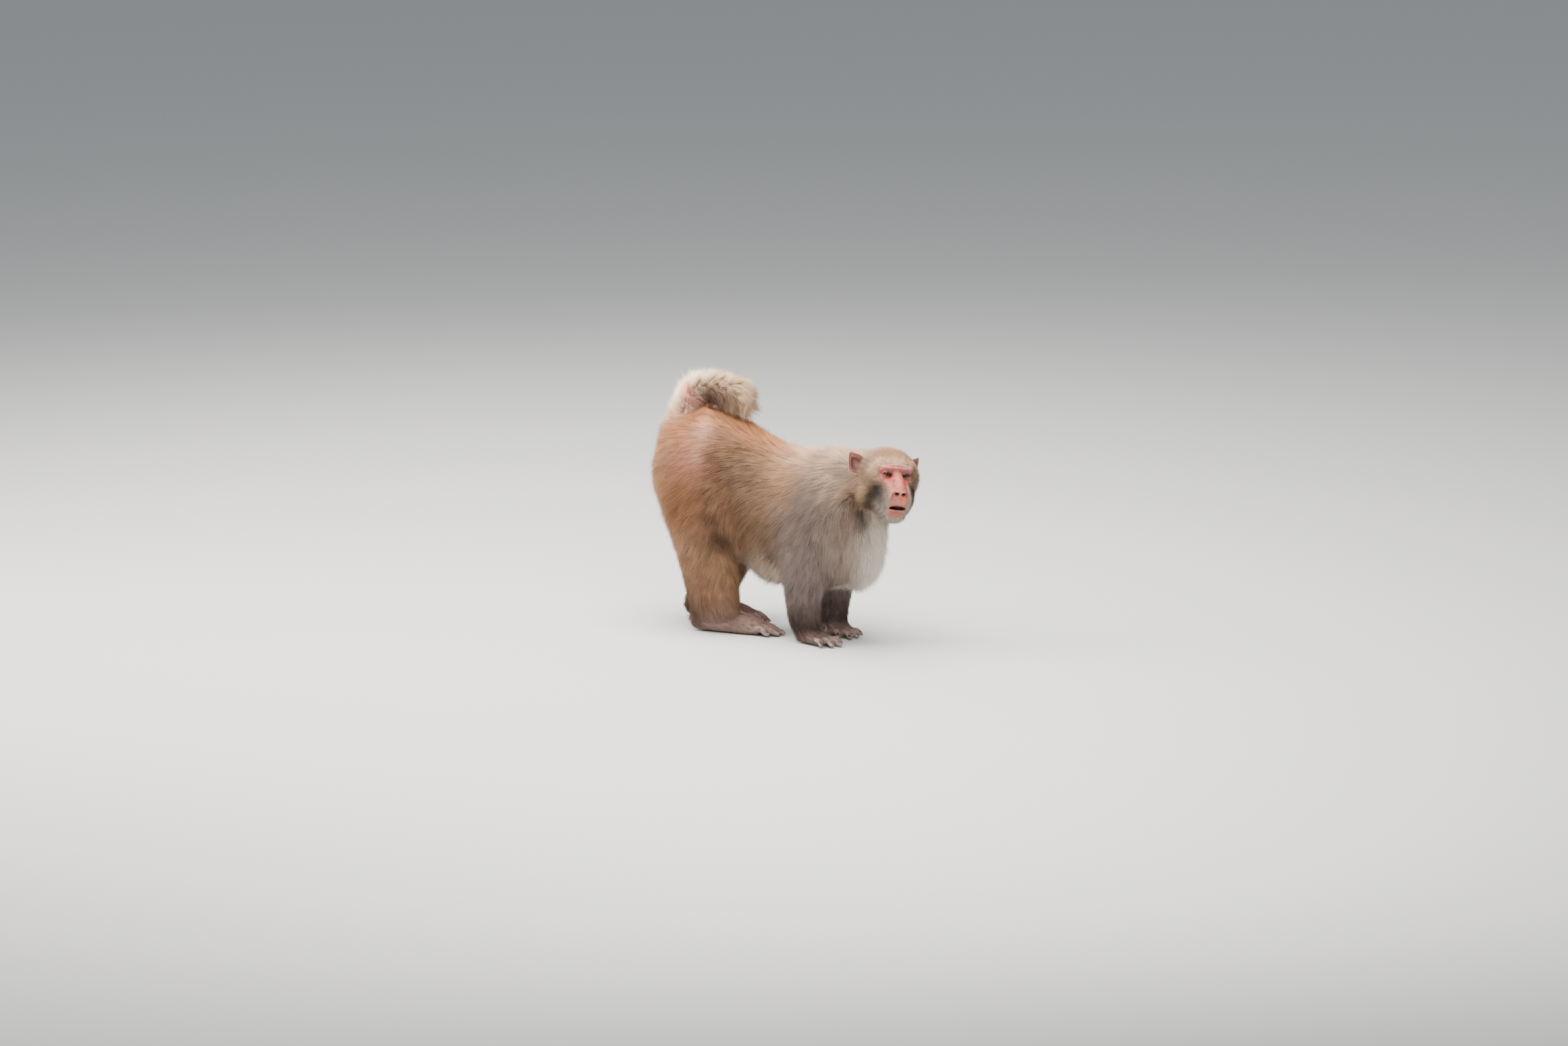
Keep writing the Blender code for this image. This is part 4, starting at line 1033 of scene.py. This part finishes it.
def skinTone():  # blotches, pores and fine creases
    group, source, sink = newGroup(
        "skinTone",
        [("Pores", "NodeSocketFloat", 900.0), ("Blotch", "NodeSocketFloat", 1.1)],
        [("Color", "NodeSocketColor"), ("Roughness", "NodeSocketFloat"), ("Height", "NodeSocketFloat")],
    )
    blotch = noiseNode(group, "ShaderNodeTexNoise", 230.0)
    blotch.inputs["Detail"].default_value = 5
    pores = noiseNode(group, "ShaderNodeTexVoronoi", source.outputs["Pores"])
    varyTone(group, sink, blotch.outputs["Fac"], source.outputs["Blotch"], (0.42, 0.62))
    height = mathNode(group, "MULTIPLY_ADD", blotch.outputs["Fac"], 0.5, pores.outputs["Distance"])
    group.links.new(height, sink.inputs["Height"])
    return group


def newMaterial(name):
    material = bpy.data.materials.new(name)
    material.use_nodes = True
    return material, material.node_tree, material.node_tree.nodes["Principled BSDF"]


toneGroup = hairTone()
skinGroup = skinTone()


def coatMaterial(name):
    material, tree, shader = newMaterial(name)
    shader.inputs["Specular IOR Level"].default_value = 0.25
    group = tree.nodes.new("ShaderNodeGroup")
    group.node_tree = toneGroup
    tree.links.new(group.outputs["Color"], shader.inputs["Base Color"])
    tree.links.new(group.outputs["Roughness"], shader.inputs["Roughness"])
    return material


coatMaterials = {name: coatMaterial(name) for name in ("gold_coat", "grey_coat", "pale_coat", "hand_fur")}
skinMaterial, tree, shader = newMaterial("bareSkin")
shader.inputs["Specular IOR Level"].default_value = 0.35
shader.inputs["Subsurface Weight"].default_value = 0.12
shader.inputs["Subsurface Radius"].default_value = (0.006, 0.002, 0.001)
group = tree.nodes.new("ShaderNodeGroup")
group.node_tree = skinGroup
bump = tree.nodes.new("ShaderNodeBump")
bump.inputs["Strength"].default_value = 0.5
bump.inputs["Distance"].default_value = 0.0006
tree.links.new(group.outputs["Color"], shader.inputs["Base Color"])
tree.links.new(group.outputs["Roughness"], shader.inputs["Roughness"])
tree.links.new(group.outputs["Height"], bump.inputs["Height"])
tree.links.new(bump.outputs["Normal"], shader.inputs["Normal"])
skinPiece.data.materials.append(skinMaterial)
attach(skinPiece, "root")
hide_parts(*fleshNodes)

coat = {  # tufts per square cm, their width and the clump spacing in mm, clump pull, bends
    "head": (190, 0.46, 5, 0.30, 1),
    "neck": (88, 0.72, 8, 0.50, 1),
    "chest": (59, 0.86, 8, 0.50, 1),
    "belly": (52, 0.92, 8, 0.45, 1),
    "hips": (61, 0.87, 8, 0.40, 1),
    "tail": (116, 0.62, 8, 0.55, 1),
    "upper_arm": (82, 0.78, 8, 0.50, 1),
    "forearm": (84, 0.72, 7, 0.45, 1),
    "hand": (118, 0.46, 4, 0.30, 1),
    "thigh": (68, 0.85, 8, 0.45, 1),
    "shank": (74, 0.82, 8, 0.50, 1),
    "foot": (115, 0.48, 4, 0.30, 1),
}
coatLimit = 195000  # triangles in one coat piece

tuft = {  # the shape and shades of one tuft, and how tufts differ from the coat they stand in
    "taper": (1.0, 0.75),  # width at each step, in shares of the whole width
    "flat": 0.55,  # thickness, in shares of the width
    "shades": (0.80, 0.98),  # painted shade among the hairs, darkest at the root; from the root outwards, then at the tip
    "tipShade": 1.10,
    "lowest": 0.0003,  # metres off the floor
    "patch": (0.0012, 0.0030),  # a tuft's size on the bake map
    "rootDepth": 0.0010,
    "long": (0.7, 1.15),  # least and greatest length and width, in shares of the coat's
    "wide": (0.7, 1.2),
    "rise": (0.42, 0.75),  # least height in shares of the coat's depth, and how much may be added
    "strays": (0.09, 0.50),  # how many stand off, and how much farther
    "sway": (0.13, 0.06),  # wander to either side, for the whole tuft and at each step
    "shade": (0.76, 1.20),
    "clumpShade": 0.12,
    "dusky": (0.5, 0.6, 0.74),  # how many clumps of a streaked coat, how many tufts in them, shade
    "dark": (0.30, 0.52),  # how many tufts of a streaked coat, shade
    "warmth": 0.05,
}

bare = {  # where the coat thins out
    "digitEnds": 0.13,  # front share of a hand's or foot's box
    "chin": 0.16,  # share of the coat's density that the lower face keeps
    "lips": (-0.063, 0.009, 0.017),  # height, half height and half width, in the head's axes
    "edging": (1.6, 0.022),  # how much denser it is beside the face, and how far out
}

handTips = np.zeros(len(points))
for name in pawNodes:
    mine = onNode(name)
    share = boxShares(name, points)
    ends = 0.9 - ramp(share[mine, 1], 0.0, bare["digitEnds"])
    handTips[mine] = np.maximum(ends, ramp(-normals[mine, 2], 0.15, 0.6))

lift = np.ones(len(points))
for share, radius, extra in hangs:
    for centre, weight in bothSides(share):
        lift += np.exp(-((points - centre) ** 2).sum(1) / radius ** 2) * (1 - faceness) * extra * weight

growth = np.maximum((1 - bareFace) ** 1.4, bare["chin"] * lowFace) * (1 - handTips)
lipsUp, lipsHigh, lipsWide = bare["lips"]
lips = ((headPlace[:, 2] - lipsUp) / lipsHigh) ** 2 + (headPlace[:, 1] / lipsWide) ** 2
growth *= 1 - ramp(np.exp(-lips ** 2) * frontness, 0.25, 0.6)
denser, farOut = bare["edging"]
growth *= 1 + denser * (1 - ramp(asideOf - faceEdge, 0.006, farOut)) * frontness
padFall = np.zeros(len(points))
for centre, _ in bothSides(sittingPads["place"]):
    centre = centre + (0, 0, sittingPads["above"])
    padFall = np.maximum(padFall, nearness(points, centre, sittingPads["size"], 2))
padFall *= onRump
growth *= 1 - ramp(padFall, 0.2, 0.5)
skinTree = BVHTree.FromPolygons(points.tolist(), triangles.tolist())
a, b, c = (points[triangles[:, corner]] for corner in range(3))
area = np.linalg.norm(np.cross(b - a, c - a), axis=1) / 2
faceLabel = label[triangles[:, 0]]
faceGrowth = growth[triangles].mean(1)
faceNormals = unit(normals[triangles].mean(1))
faceFields = fields[triangles].mean(1)
faceDepth = depth[triangles].mean(1)
faceShort = shortHair[triangles].mean(1)
faceLift = lift[triangles].mean(1)


def onSkin(places):
    found = [skinTree.find_nearest(place) for place in places.tolist()]
    return np.array([hit[0][:] for hit in found]), np.array([hit[2] for hit in found])


def weaveTufts(name, path, above, thick, base, patch):  # closed three-sided spikes along the paths
    steps, count = len(path) - 1, len(above)
    wide, high = tuft["patch"]
    spin = chance.uniform(-0.5, 0.5, count)
    rings, tints, spots = [], [], []
    for step in range(steps):
        along = unit(path[step + 1] - path[max(step - 1, 0)])
        flat = unit(np.cross(along, above))
        up = np.cross(flat, along)
        for corner in range(3):
            turn = spin + corner * 2 * math.pi / 3
            offset = flat * np.cos(turn)[:, None] + up * (np.sin(turn) * tuft["flat"])[:, None]
            rings.append(path[step] + offset * (thick * tuft["taper"][step] / 2)[:, None])
            # painted shade, darker towards the root
            tints.append(base * tuft["shades"][step])
            spots.append(patch + ((corner - 1) * wide, (step / steps - 0.5) * high + 0.0002 * (corner == 1)))
    rings.append(path[-1])
    tints.append(base * tuft["tipShade"])
    spots.append(patch + (0, high / 2))
    vertices = np.stack(rings, 1)
    vertices[:, :, 2] = np.maximum(vertices[:, :, 2], tuft["lowest"])
    size = vertices.shape[1]
    pattern = [(0, 2, 1)]
    for step in range(steps):
        for corner in range(3):
            one, two = step * 3 + corner, step * 3 + (corner + 1) % 3
            if step < steps - 1:
                pattern += [(one, two, two + 3), (one, two + 3, one + 3)]
            else:
                pattern.append((one, two, size - 1))
    faces = (np.arange(count)[:, None, None] * size + np.array(pattern)[None]).reshape(-1, 3)
    piece = addPiece(name, vertices.reshape(-1, 3), faces)
    addTint(piece, np.clip(np.stack(tints, 1).reshape(-1, 3), 0, 1))
    addPatches(piece, np.stack(spots, 1).reshape(-1, 2))
    return piece


def growCoat(name):
    density, width, spacing, pull, steps = coat[kindOf(name)]
    mine = np.flatnonzero((faceLabel == nodeIndex[name]) & (faceGrowth > 0.03))
    weight = area[mine] * faceGrowth[mine]
    perTuft = steps * 6 - 2
    count = min(int(weight.sum() * 1e4 * density), coatLimit // perTuft)
    rank = np.searchsorted(np.cumsum(weight) / weight.sum(), chance.random(count))
    face = mine[rank.clip(0, len(mine) - 1)]
    share = chance.dirichlet((1, 1, 1), count)
    root = (points[triangles[face]] * share[:, :, None]).sum(1)
    patch = (skinMap[face] * share[:, :, None]).sum(1)
    tone, streak = faceFields[face, 5:8], faceFields[face, 8]
    long = faceFields[face, 3] * chance.uniform(*tuft["long"], count) * faceShort[face]
    long = long * faceLift[face] ** 0.5
    deep = np.maximum(faceDepth[face], 0.0006)
    rise = chance.beta(2.4, 1.2, count) * tuft["rise"][1] + tuft["rise"][0]
    strayShare, farther = tuft["strays"]
    rise = np.where(chance.random(count) < strayShare, rise + farther, rise) * faceLift[face]
    run = np.sqrt(np.maximum(long ** 2 - (deep * rise) ** 2, (long * 0.4) ** 2)) / steps
    sway = chance.normal(0, tuft["sway"][0], count)
    heights = (0.70, 1.0)[2 - steps:]
    normal = faceNormals[face]
    path = [root - normal * tuft["rootDepth"]]
    here, at = root, face
    for step in range(steps):
        comb = faceFields[at, :3]
        comb = unit(comb - normal * (comb * normal).sum(1)[:, None])
        side = np.cross(normal, comb)
        onward = unit(comb + side * (sway + chance.normal(0, tuft["sway"][1], count))[:, None])
        here, at = onSkin(here + onward * run[:, None])
        normal = faceNormals[at]
        path.append(here + normal * (deep * rise * heights[step])[:, None])
    path = np.array(path)  # by step, then by tuft

    clumps = max(4, int(weight.sum() / (spacing / 1000) ** 2))
    centres = chance.choice(count, min(clumps, count), replace=False)
    tree = KDTree(len(centres))
    for index, place in enumerate(root[centres].tolist()):
        tree.insert(place, index)
    tree.balance()
    nearest = np.array([tree.find(place)[1] for place in root.tolist()])
    leader = centres[nearest]
    for step in range(1, steps + 1):
        draw = pull * (step / steps) * chance.uniform(0.5, 1.0, count)[:, None]
        path[step] += (path[step][leader] - path[step]) * draw

    clumpShade = np.clip(1 + chance.normal(0, tuft["clumpShade"], len(centres)), 0.6, 1.4)[nearest]
    duskyClumps, duskyTufts, duskyShade = tuft["dusky"]
    dusky = chance.random(len(centres))[nearest] < streak * duskyClumps
    dusky = dusky & (chance.random(count) < duskyTufts)
    darkTufts, darkShade = tuft["dark"]
    dark = chance.random(count) < streak * darkTufts
    shade = clumpShade * chance.uniform(*tuft["shade"], count)
    shade = shade * np.where(dusky, duskyShade, 1.0) * np.where(dark, darkShade, 1.0)
    warmth = 1 + chance.normal(0, tuft["warmth"], (count, 3)) * (1, 0.3, 0.8)
    base = tone * shade[:, None] * warmth
    thick = width / 1000 * chance.uniform(*tuft["wide"], count)
    return weaveTufts("coat_" + name, path, faceNormals[face], thick, base, patch)


def growSpikes(name, root, way, kind):  # fine hairs from their roots along way, bent down and aside
    _, length, width, colour = fineHairs[kind]
    count = len(root)
    way = unit(way + chance.normal(0, 0.16, (count, 3)))
    long = (length / 1000 * chance.uniform(0.55, 1.15, count))[:, None]
    fallen = np.array([0, 0.10, -0.18])
    path = np.array([root - way * 0.001, root + way * long * 0.5, root + unit(way + fallen) * long])
    above = unit(np.cross(way, (0.3, 0.2, 1.0)))
    _, face = onSkin(root)
    patch = skinMap[face].mean(1)
    base = linear(colour) * chance.uniform(0.8, 1.1, count)[:, None]
    return weaveTufts(name, path, above, np.full(count, width / 1000), base, patch)


def placeOnFace(spots):  # head places thrown onto the skin from the front
    found = []
    for spot in spots:
        start = Vector(fromHead(spot + np.array([0.06, 0, 0])))
        hit = skinTree.ray_cast(start, -Vector(headAhead))
        found.append((np.array(hit[0]), np.array(hit[1])) if hit[0] else None)
    return [pair for pair in found if pair]


coatSlots = {  # the rest is grey
    "hips": "gold_coat",
    "belly": "gold_coat",
    "thigh": "gold_coat",
    "shank": "gold_coat",
    "tail": "pale_coat",
    "hand": "hand_fur",
    "foot": "hand_fur",
}
total = 0
for name in bodyNodes:
    piece = growCoat(name)
    slotName = coatSlots.get(kindOf(name), "grey_coat")
    piece.data.materials.append(coatMaterials[slotName])
    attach(piece, "root")
    total += len(piece.data.polygons)
    print(piece.name, len(piece.data.polygons))
for side, (rim, outer) in zip(("left", "right"), earRims):
    picked = chance.integers(0, len(rim), fineHairs["ear"][0])
    after = (picked + 1) % len(rim)
    share = chance.random(len(picked))[:, None]
    root = rim[picked] * (1 - share) + rim[after] * share
    sets = [growSpikes("earHair_" + side, root, outer[picked], "ear")]
    ahead = (rim - rim.mean(0)) @ headAhead
    front = np.flatnonzero(ahead > ahead.max() * 0.45)
    picked = chance.choice(front, fineHairs["earFront"][0])
    inset = chance.uniform(0, 0.16, len(picked))[:, None]
    root = rim[picked] + (rim.mean(0) - rim[picked]) * inset
    sign = 1 if side == "left" else -1
    way = -headAhead * 0.35 + headUp * 0.85 + headLeft * sign * 0.20
    sets.append(growSpikes("earFront_" + side, root, np.tile(way, (len(root), 1)), "earFront"))
    root, way = earBacks[side == "right"]
    sets.append(growSpikes("earBack_" + side, root, np.tile(way, (len(root), 1)), "earBack"))
    for piece in sets:
        piece.data.materials.append(coatMaterials["grey_coat"])
        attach(piece, "root")


# both sides; bend: share of the skin's normal, then outwards and up
def faceHairs(kind, slot, asides, ups, bend):
    count = fineHairs[kind][0]
    sign = np.where(chance.random(count) < 0.5, -1.0, 1.0)
    aside = chance.uniform(*asides, count) * sign
    places = np.column_stack([np.full(count, 0.08), aside, chance.uniform(*ups, count)])
    pairs = placeOnFace(places)
    root = np.array([pair[0] for pair in pairs])
    outwards = np.where(toHead(root)[:, 1] < 0, -1.0, 1.0)[:, None]
    way = np.array([pair[1] for pair in pairs]) * bend[0] + headLeft * outwards * bend[1] + headUp * bend[2]
    piece = growSpikes(kind, root, unit(way), kind)
    piece.data.materials.append(coatMaterials[slot])
    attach(piece, "root")


faceHairs("chinWhiskers", "pale_coat", (0.012, 0.024), (-0.088, -0.056), (1.0, 0.0, -0.35))
faceHairs("lipHairs", "pale_coat", (0.0, 0.0165), (-0.0565, -0.0545), (0.45, 0.0, -1.0))
faceHairs("chinHairs", "pale_coat", (0.0, 0.017), (-0.090, -0.0755), (0.35, 0.15, -1.0))
faceHairs("muzzleHairs", "pale_coat", (0.0135, 0.0225), (-0.076, -0.020), (0.25, 0.7, -0.6))
faceHairs("browHairs", "pale_coat", (0.0, 0.029), (0.0085, 0.0150), (0.30, 0.1, 1.0))
print("coat triangles", total)

nail = {
    "long": 0.0078,  # metres
    "wide": 0.0052,
    "thick": 0.0007,
    # where the digits fan out from, in shares of the hand's or foot's box: outwards, front to back
    "wrist": (0.55, 0.72),
    "heel": (0.46, 0.74),
    "gap": 0.011,  # least distance between two tips, in metres
    "farOut": 0.55,  # least reach of a tip, in shares of the longest one's
    "around": 0.009,  # a tip reaches farther than all the skin this near to it
    "behind": 0.0050,  # from the tip back to the nail's middle
    "slope": 0.35,
    "bendAside": 0.0019,  # how far its sides and its end bend down
    "bendAhead": 0.0014,
    "colour": (42, 33, 30),
}
nailMaterial, tree, shader = newMaterial("nailHorn")
shader.inputs["Base Color"].default_value = (*linear(nail["colour"]), 1)
shader.inputs["Roughness"].default_value = 0.38


def digitTips(name):  # the farthest skin point in each direction that a digit takes
    side = name.split("_")[1]
    mine = points[onNode(name)]
    low, high = (np.array(corner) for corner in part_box(name))
    across, along = nail["wrist"] if name.startswith("hand") else nail["heel"]
    if side == "right":
        across = 1 - across
    start = np.array([low[0] + (high - low)[0] * across, low[1] + (high - low)[1] * along])
    tips = []
    middle = mine[:, :2] - start
    reach = np.linalg.norm(middle, axis=1)
    angle = np.arctan2(middle[:, 0], -middle[:, 1])
    found = np.flatnonzero(reach > reach.max() * nail["farOut"])
    found = found[np.argsort(-reach[found])]
    for index in found:
        if all(np.linalg.norm(mine[index, :2] - mine[tip, :2]) > nail["gap"] for tip in tips):
            inner = np.linalg.norm(mine[:, :2] - mine[index, :2], axis=1) < nail["around"]
            if reach[inner].max() <= reach[index] + 1e-6:
                tips.append(index)
        if len(tips) == 5:
            break
    return [(mine[index], np.array([math.sin(angle[index]), -math.cos(angle[index]), 0])) for index in tips]


def makeNails():
    spots, faces = [], []
    rows, columns = 8, 9
    for name in pawNodes:
        for tip, ahead in digitTips(name):
            above = Vector(tip - ahead * nail["behind"]) + Vector((0, 0, 0.03))
            hit = skinTree.ray_cast(above, Vector((0, 0, -1)))
            base = np.array(hit[0]) + np.array([0, 0, 0.0004])
            aside = np.cross((0, 0, 1), ahead)
            slope = unit(np.array([0, 0, 1]) + ahead * nail["slope"])
            onward = unit(ahead - slope * (ahead @ slope))
            start = len(spots)
            for layer in (1, -1):
                for row in range(rows + 1):
                    along = row / rows
                    blunt = math.sqrt(max(0.0, 1 - (2 * along - 1) ** 8))
                    half = nail["wide"] / 2 * (1 - 0.5 * along ** 2) * blunt
                    for column in range(columns + 1):
                        across = 2 * column / columns - 1
                        drop = nail["bendAside"] * across ** 2 + nail["bendAhead"] * along ** 2
                        spot = base + onward * (nail["long"] * (along - 0.45)) + aside * (half * across)
                        spots.append(spot + slope * (0.0005 - drop + layer * nail["thick"] / 2))
            count = (rows + 1) * (columns + 1)
            for a, b, c, d in cells(rows, columns, False, start):
                faces += [(a, c, b), (a, d, c)]
                faces += [(a + count, b + count, c + count), (a + count, c + count, d + count)]
            ring = [start + column for column in range(columns)]
            ring += [start + row * (columns + 1) + columns for row in range(rows)]
            ring += [start + rows * (columns + 1) + column for column in range(columns, 0, -1)]
            ring += [start + row * (columns + 1) for row in range(rows, 0, -1)]
            for a, b in zip(ring, ring[1:] + ring[:1]):
                faces += [(a, b, b + count), (a, b + count, a + count)]
    piece = addPiece("nails", np.array(spots), faces)
    piece.data.materials.append(nailMaterial)
    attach(piece, "root")


makeNails()
print("nails made")

eye = {
    "iris": 0.0058,  # metres
    "pupil": 0.0028,
    "rimFrom": 0.84,  # share of the iris inside its dark rim
    "bulge": (0.0006, 0.0042),  # height and half width of the clear front
    "look": (1.0, -0.15, 0.06),  # ahead, left, up
    "fibres": 0.16,  # how much the iris's threads differ
    "irisColour": (42, 46, 36),
    "irisInner": (64, 60, 42),
    "rimColour": (20, 16, 14),
    "whiteColour": (70, 44, 36),
}


def makeEye(side):
    rows, columns = 72, 96
    look = unit(np.array(eye["look"]))
    aside = unit(np.cross((0, 0, 1), look))
    high = np.cross(look, aside)
    spots, tint = [], []
    fibres = chance.normal(0, 1, columns)
    for row in range(rows + 1):
        angle = math.pi * (row / rows) ** 1.35
        across = eyeRadius * math.sin(angle)
        bulge = eye["bulge"][0] * math.exp(-(across / eye["bulge"][1]) ** 4) * (angle < 1.5)
        for column in range(columns):
            turn = 2 * math.pi * column / columns
            ring = aside * math.cos(turn) + high * math.sin(turn)
            spots.append(look * (eyeRadius * math.cos(angle) + bulge) + ring * across)
            if angle > 1.5 or across > eye["iris"]:
                colour = linear(eye["whiteColour"])
            elif across > eye["iris"] * eye["rimFrom"]:
                colour = linear(eye["rimColour"])
            elif across > eye["pupil"]:
                part = (across - eye["pupil"]) / (eye["iris"] * eye["rimFrom"] - eye["pupil"])
                colour = linear(eye["irisInner"]) * (1 - part) + linear(eye["irisColour"]) * part
                colour = colour * (1 + eye["fibres"] * fibres[column])
            else:
                colour = np.full(3, 0.002)  # the pupil, all but black
            tint.append(colour)
    faces = []
    for a, b, c, d in cells(rows, columns, True):
        faces += [(a, d, c), (a, c, b)]
    centre = toHead(eyeCentres[side][None])[0]
    piece = addPiece("eyeball_" + side, fromHead(np.array(spots) + centre), faces)
    addTint(piece, np.clip(np.array(tint), 0, 1))
    applyModifier(piece, "WELD", merge_threshold=0.000001)
    piece.data.materials.append(eyeMaterial)
    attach(piece, "root")
    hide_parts("eye_" + side)
    return piece


eyeMaterial, tree, shader = newMaterial("wetEye")
shader.inputs["Roughness"].default_value = 0.14
shader.inputs["Specular IOR Level"].default_value = 0.2
shader.inputs["Coat Weight"].default_value = 0.12
shader.inputs["Coat Roughness"].default_value = 0.02
tint = tree.nodes.new("ShaderNodeAttribute")
tint.attribute_name = "tint"
tree.links.new(tint.outputs["Color"], shader.inputs["Base Color"])
for side in ("left", "right"):
    makeEye(side)
print("eyes made")

stage = {
    "floor": 60.0,
    "floorColour": (0.62, 0.62, 0.61, 1),
    "sky": (0.80, 0.86, 0.92, 1),
    "skyStrength": 0.46,
    "azimuth": -55.0,  # degrees round the model from its front
    "elevation": 10.0,
    "distance": 15.673,
    "lens": 200.0,
    "aim": (0.0319, 0.0450, 0.1950),
}
lights = {  # place, size, power, colour
    "topLight": ((-0.3, 0.1, 2.6), 2.4, 215, (1.0, 0.97, 0.92)),
    "keyLight": ((-1.7, -1.5, 1.7), 1.6, 62, (1.0, 0.97, 0.93)),
    "sideLight": ((-1.5, 2.0, 1.9), 1.8, 112, (1.0, 0.96, 0.90)),
    "backLight": ((1.6, 1.8, 2.2), 1.4, 40, (1.0, 0.98, 0.95)),
}
bpy.ops.mesh.primitive_plane_add(size=stage["floor"], location=(0, 0, 0))
floor = bpy.context.object
floor.name = "floor"
material, tree, shader = newMaterial("paleFloor")
shader.inputs["Base Color"].default_value = stage["floorColour"]
shader.inputs["Roughness"].default_value = 0.8
floor.data.materials.append(material)

world = bpy.data.worlds.new("studio")
bpy.context.scene.world = world
world.use_nodes = True
world.node_tree.nodes["Background"].inputs["Color"].default_value = stage["sky"]
world.node_tree.nodes["Background"].inputs["Strength"].default_value = stage["skyStrength"]


def aimObject(name, data, place, way):  # a lamp or a camera that looks along way
    piece = newObject(name, data)
    piece.location = place
    piece.rotation_mode = "QUATERNION"
    piece.rotation_quaternion = way.to_track_quat("-Z", "Y")
    return piece


for name, (place, size, power, colour) in lights.items():
    light = bpy.data.lights.new(name, "AREA")
    light.size, light.energy, light.color = size, power, colour
    lamp = aimObject(name, light, place, Vector((0, 0, 0.25)) - Vector(place))

azimuth, elevation = math.radians(stage["azimuth"]), math.radians(stage["elevation"])
level = math.cos(elevation)
toCamera = Vector((math.sin(azimuth) * level, -math.cos(azimuth) * level, math.sin(elevation)))
camera = bpy.data.cameras.new("camera")
camera.lens = stage["lens"]
camera.sensor_width = 36
camera.clip_end = 100
place = Vector(stage["aim"]) + toCamera * stage["distance"]
cameraPiece = aimObject("camera", camera, place, -toCamera)
bpy.context.scene.camera = cameraPiece
bpy.context.view_layer.update()
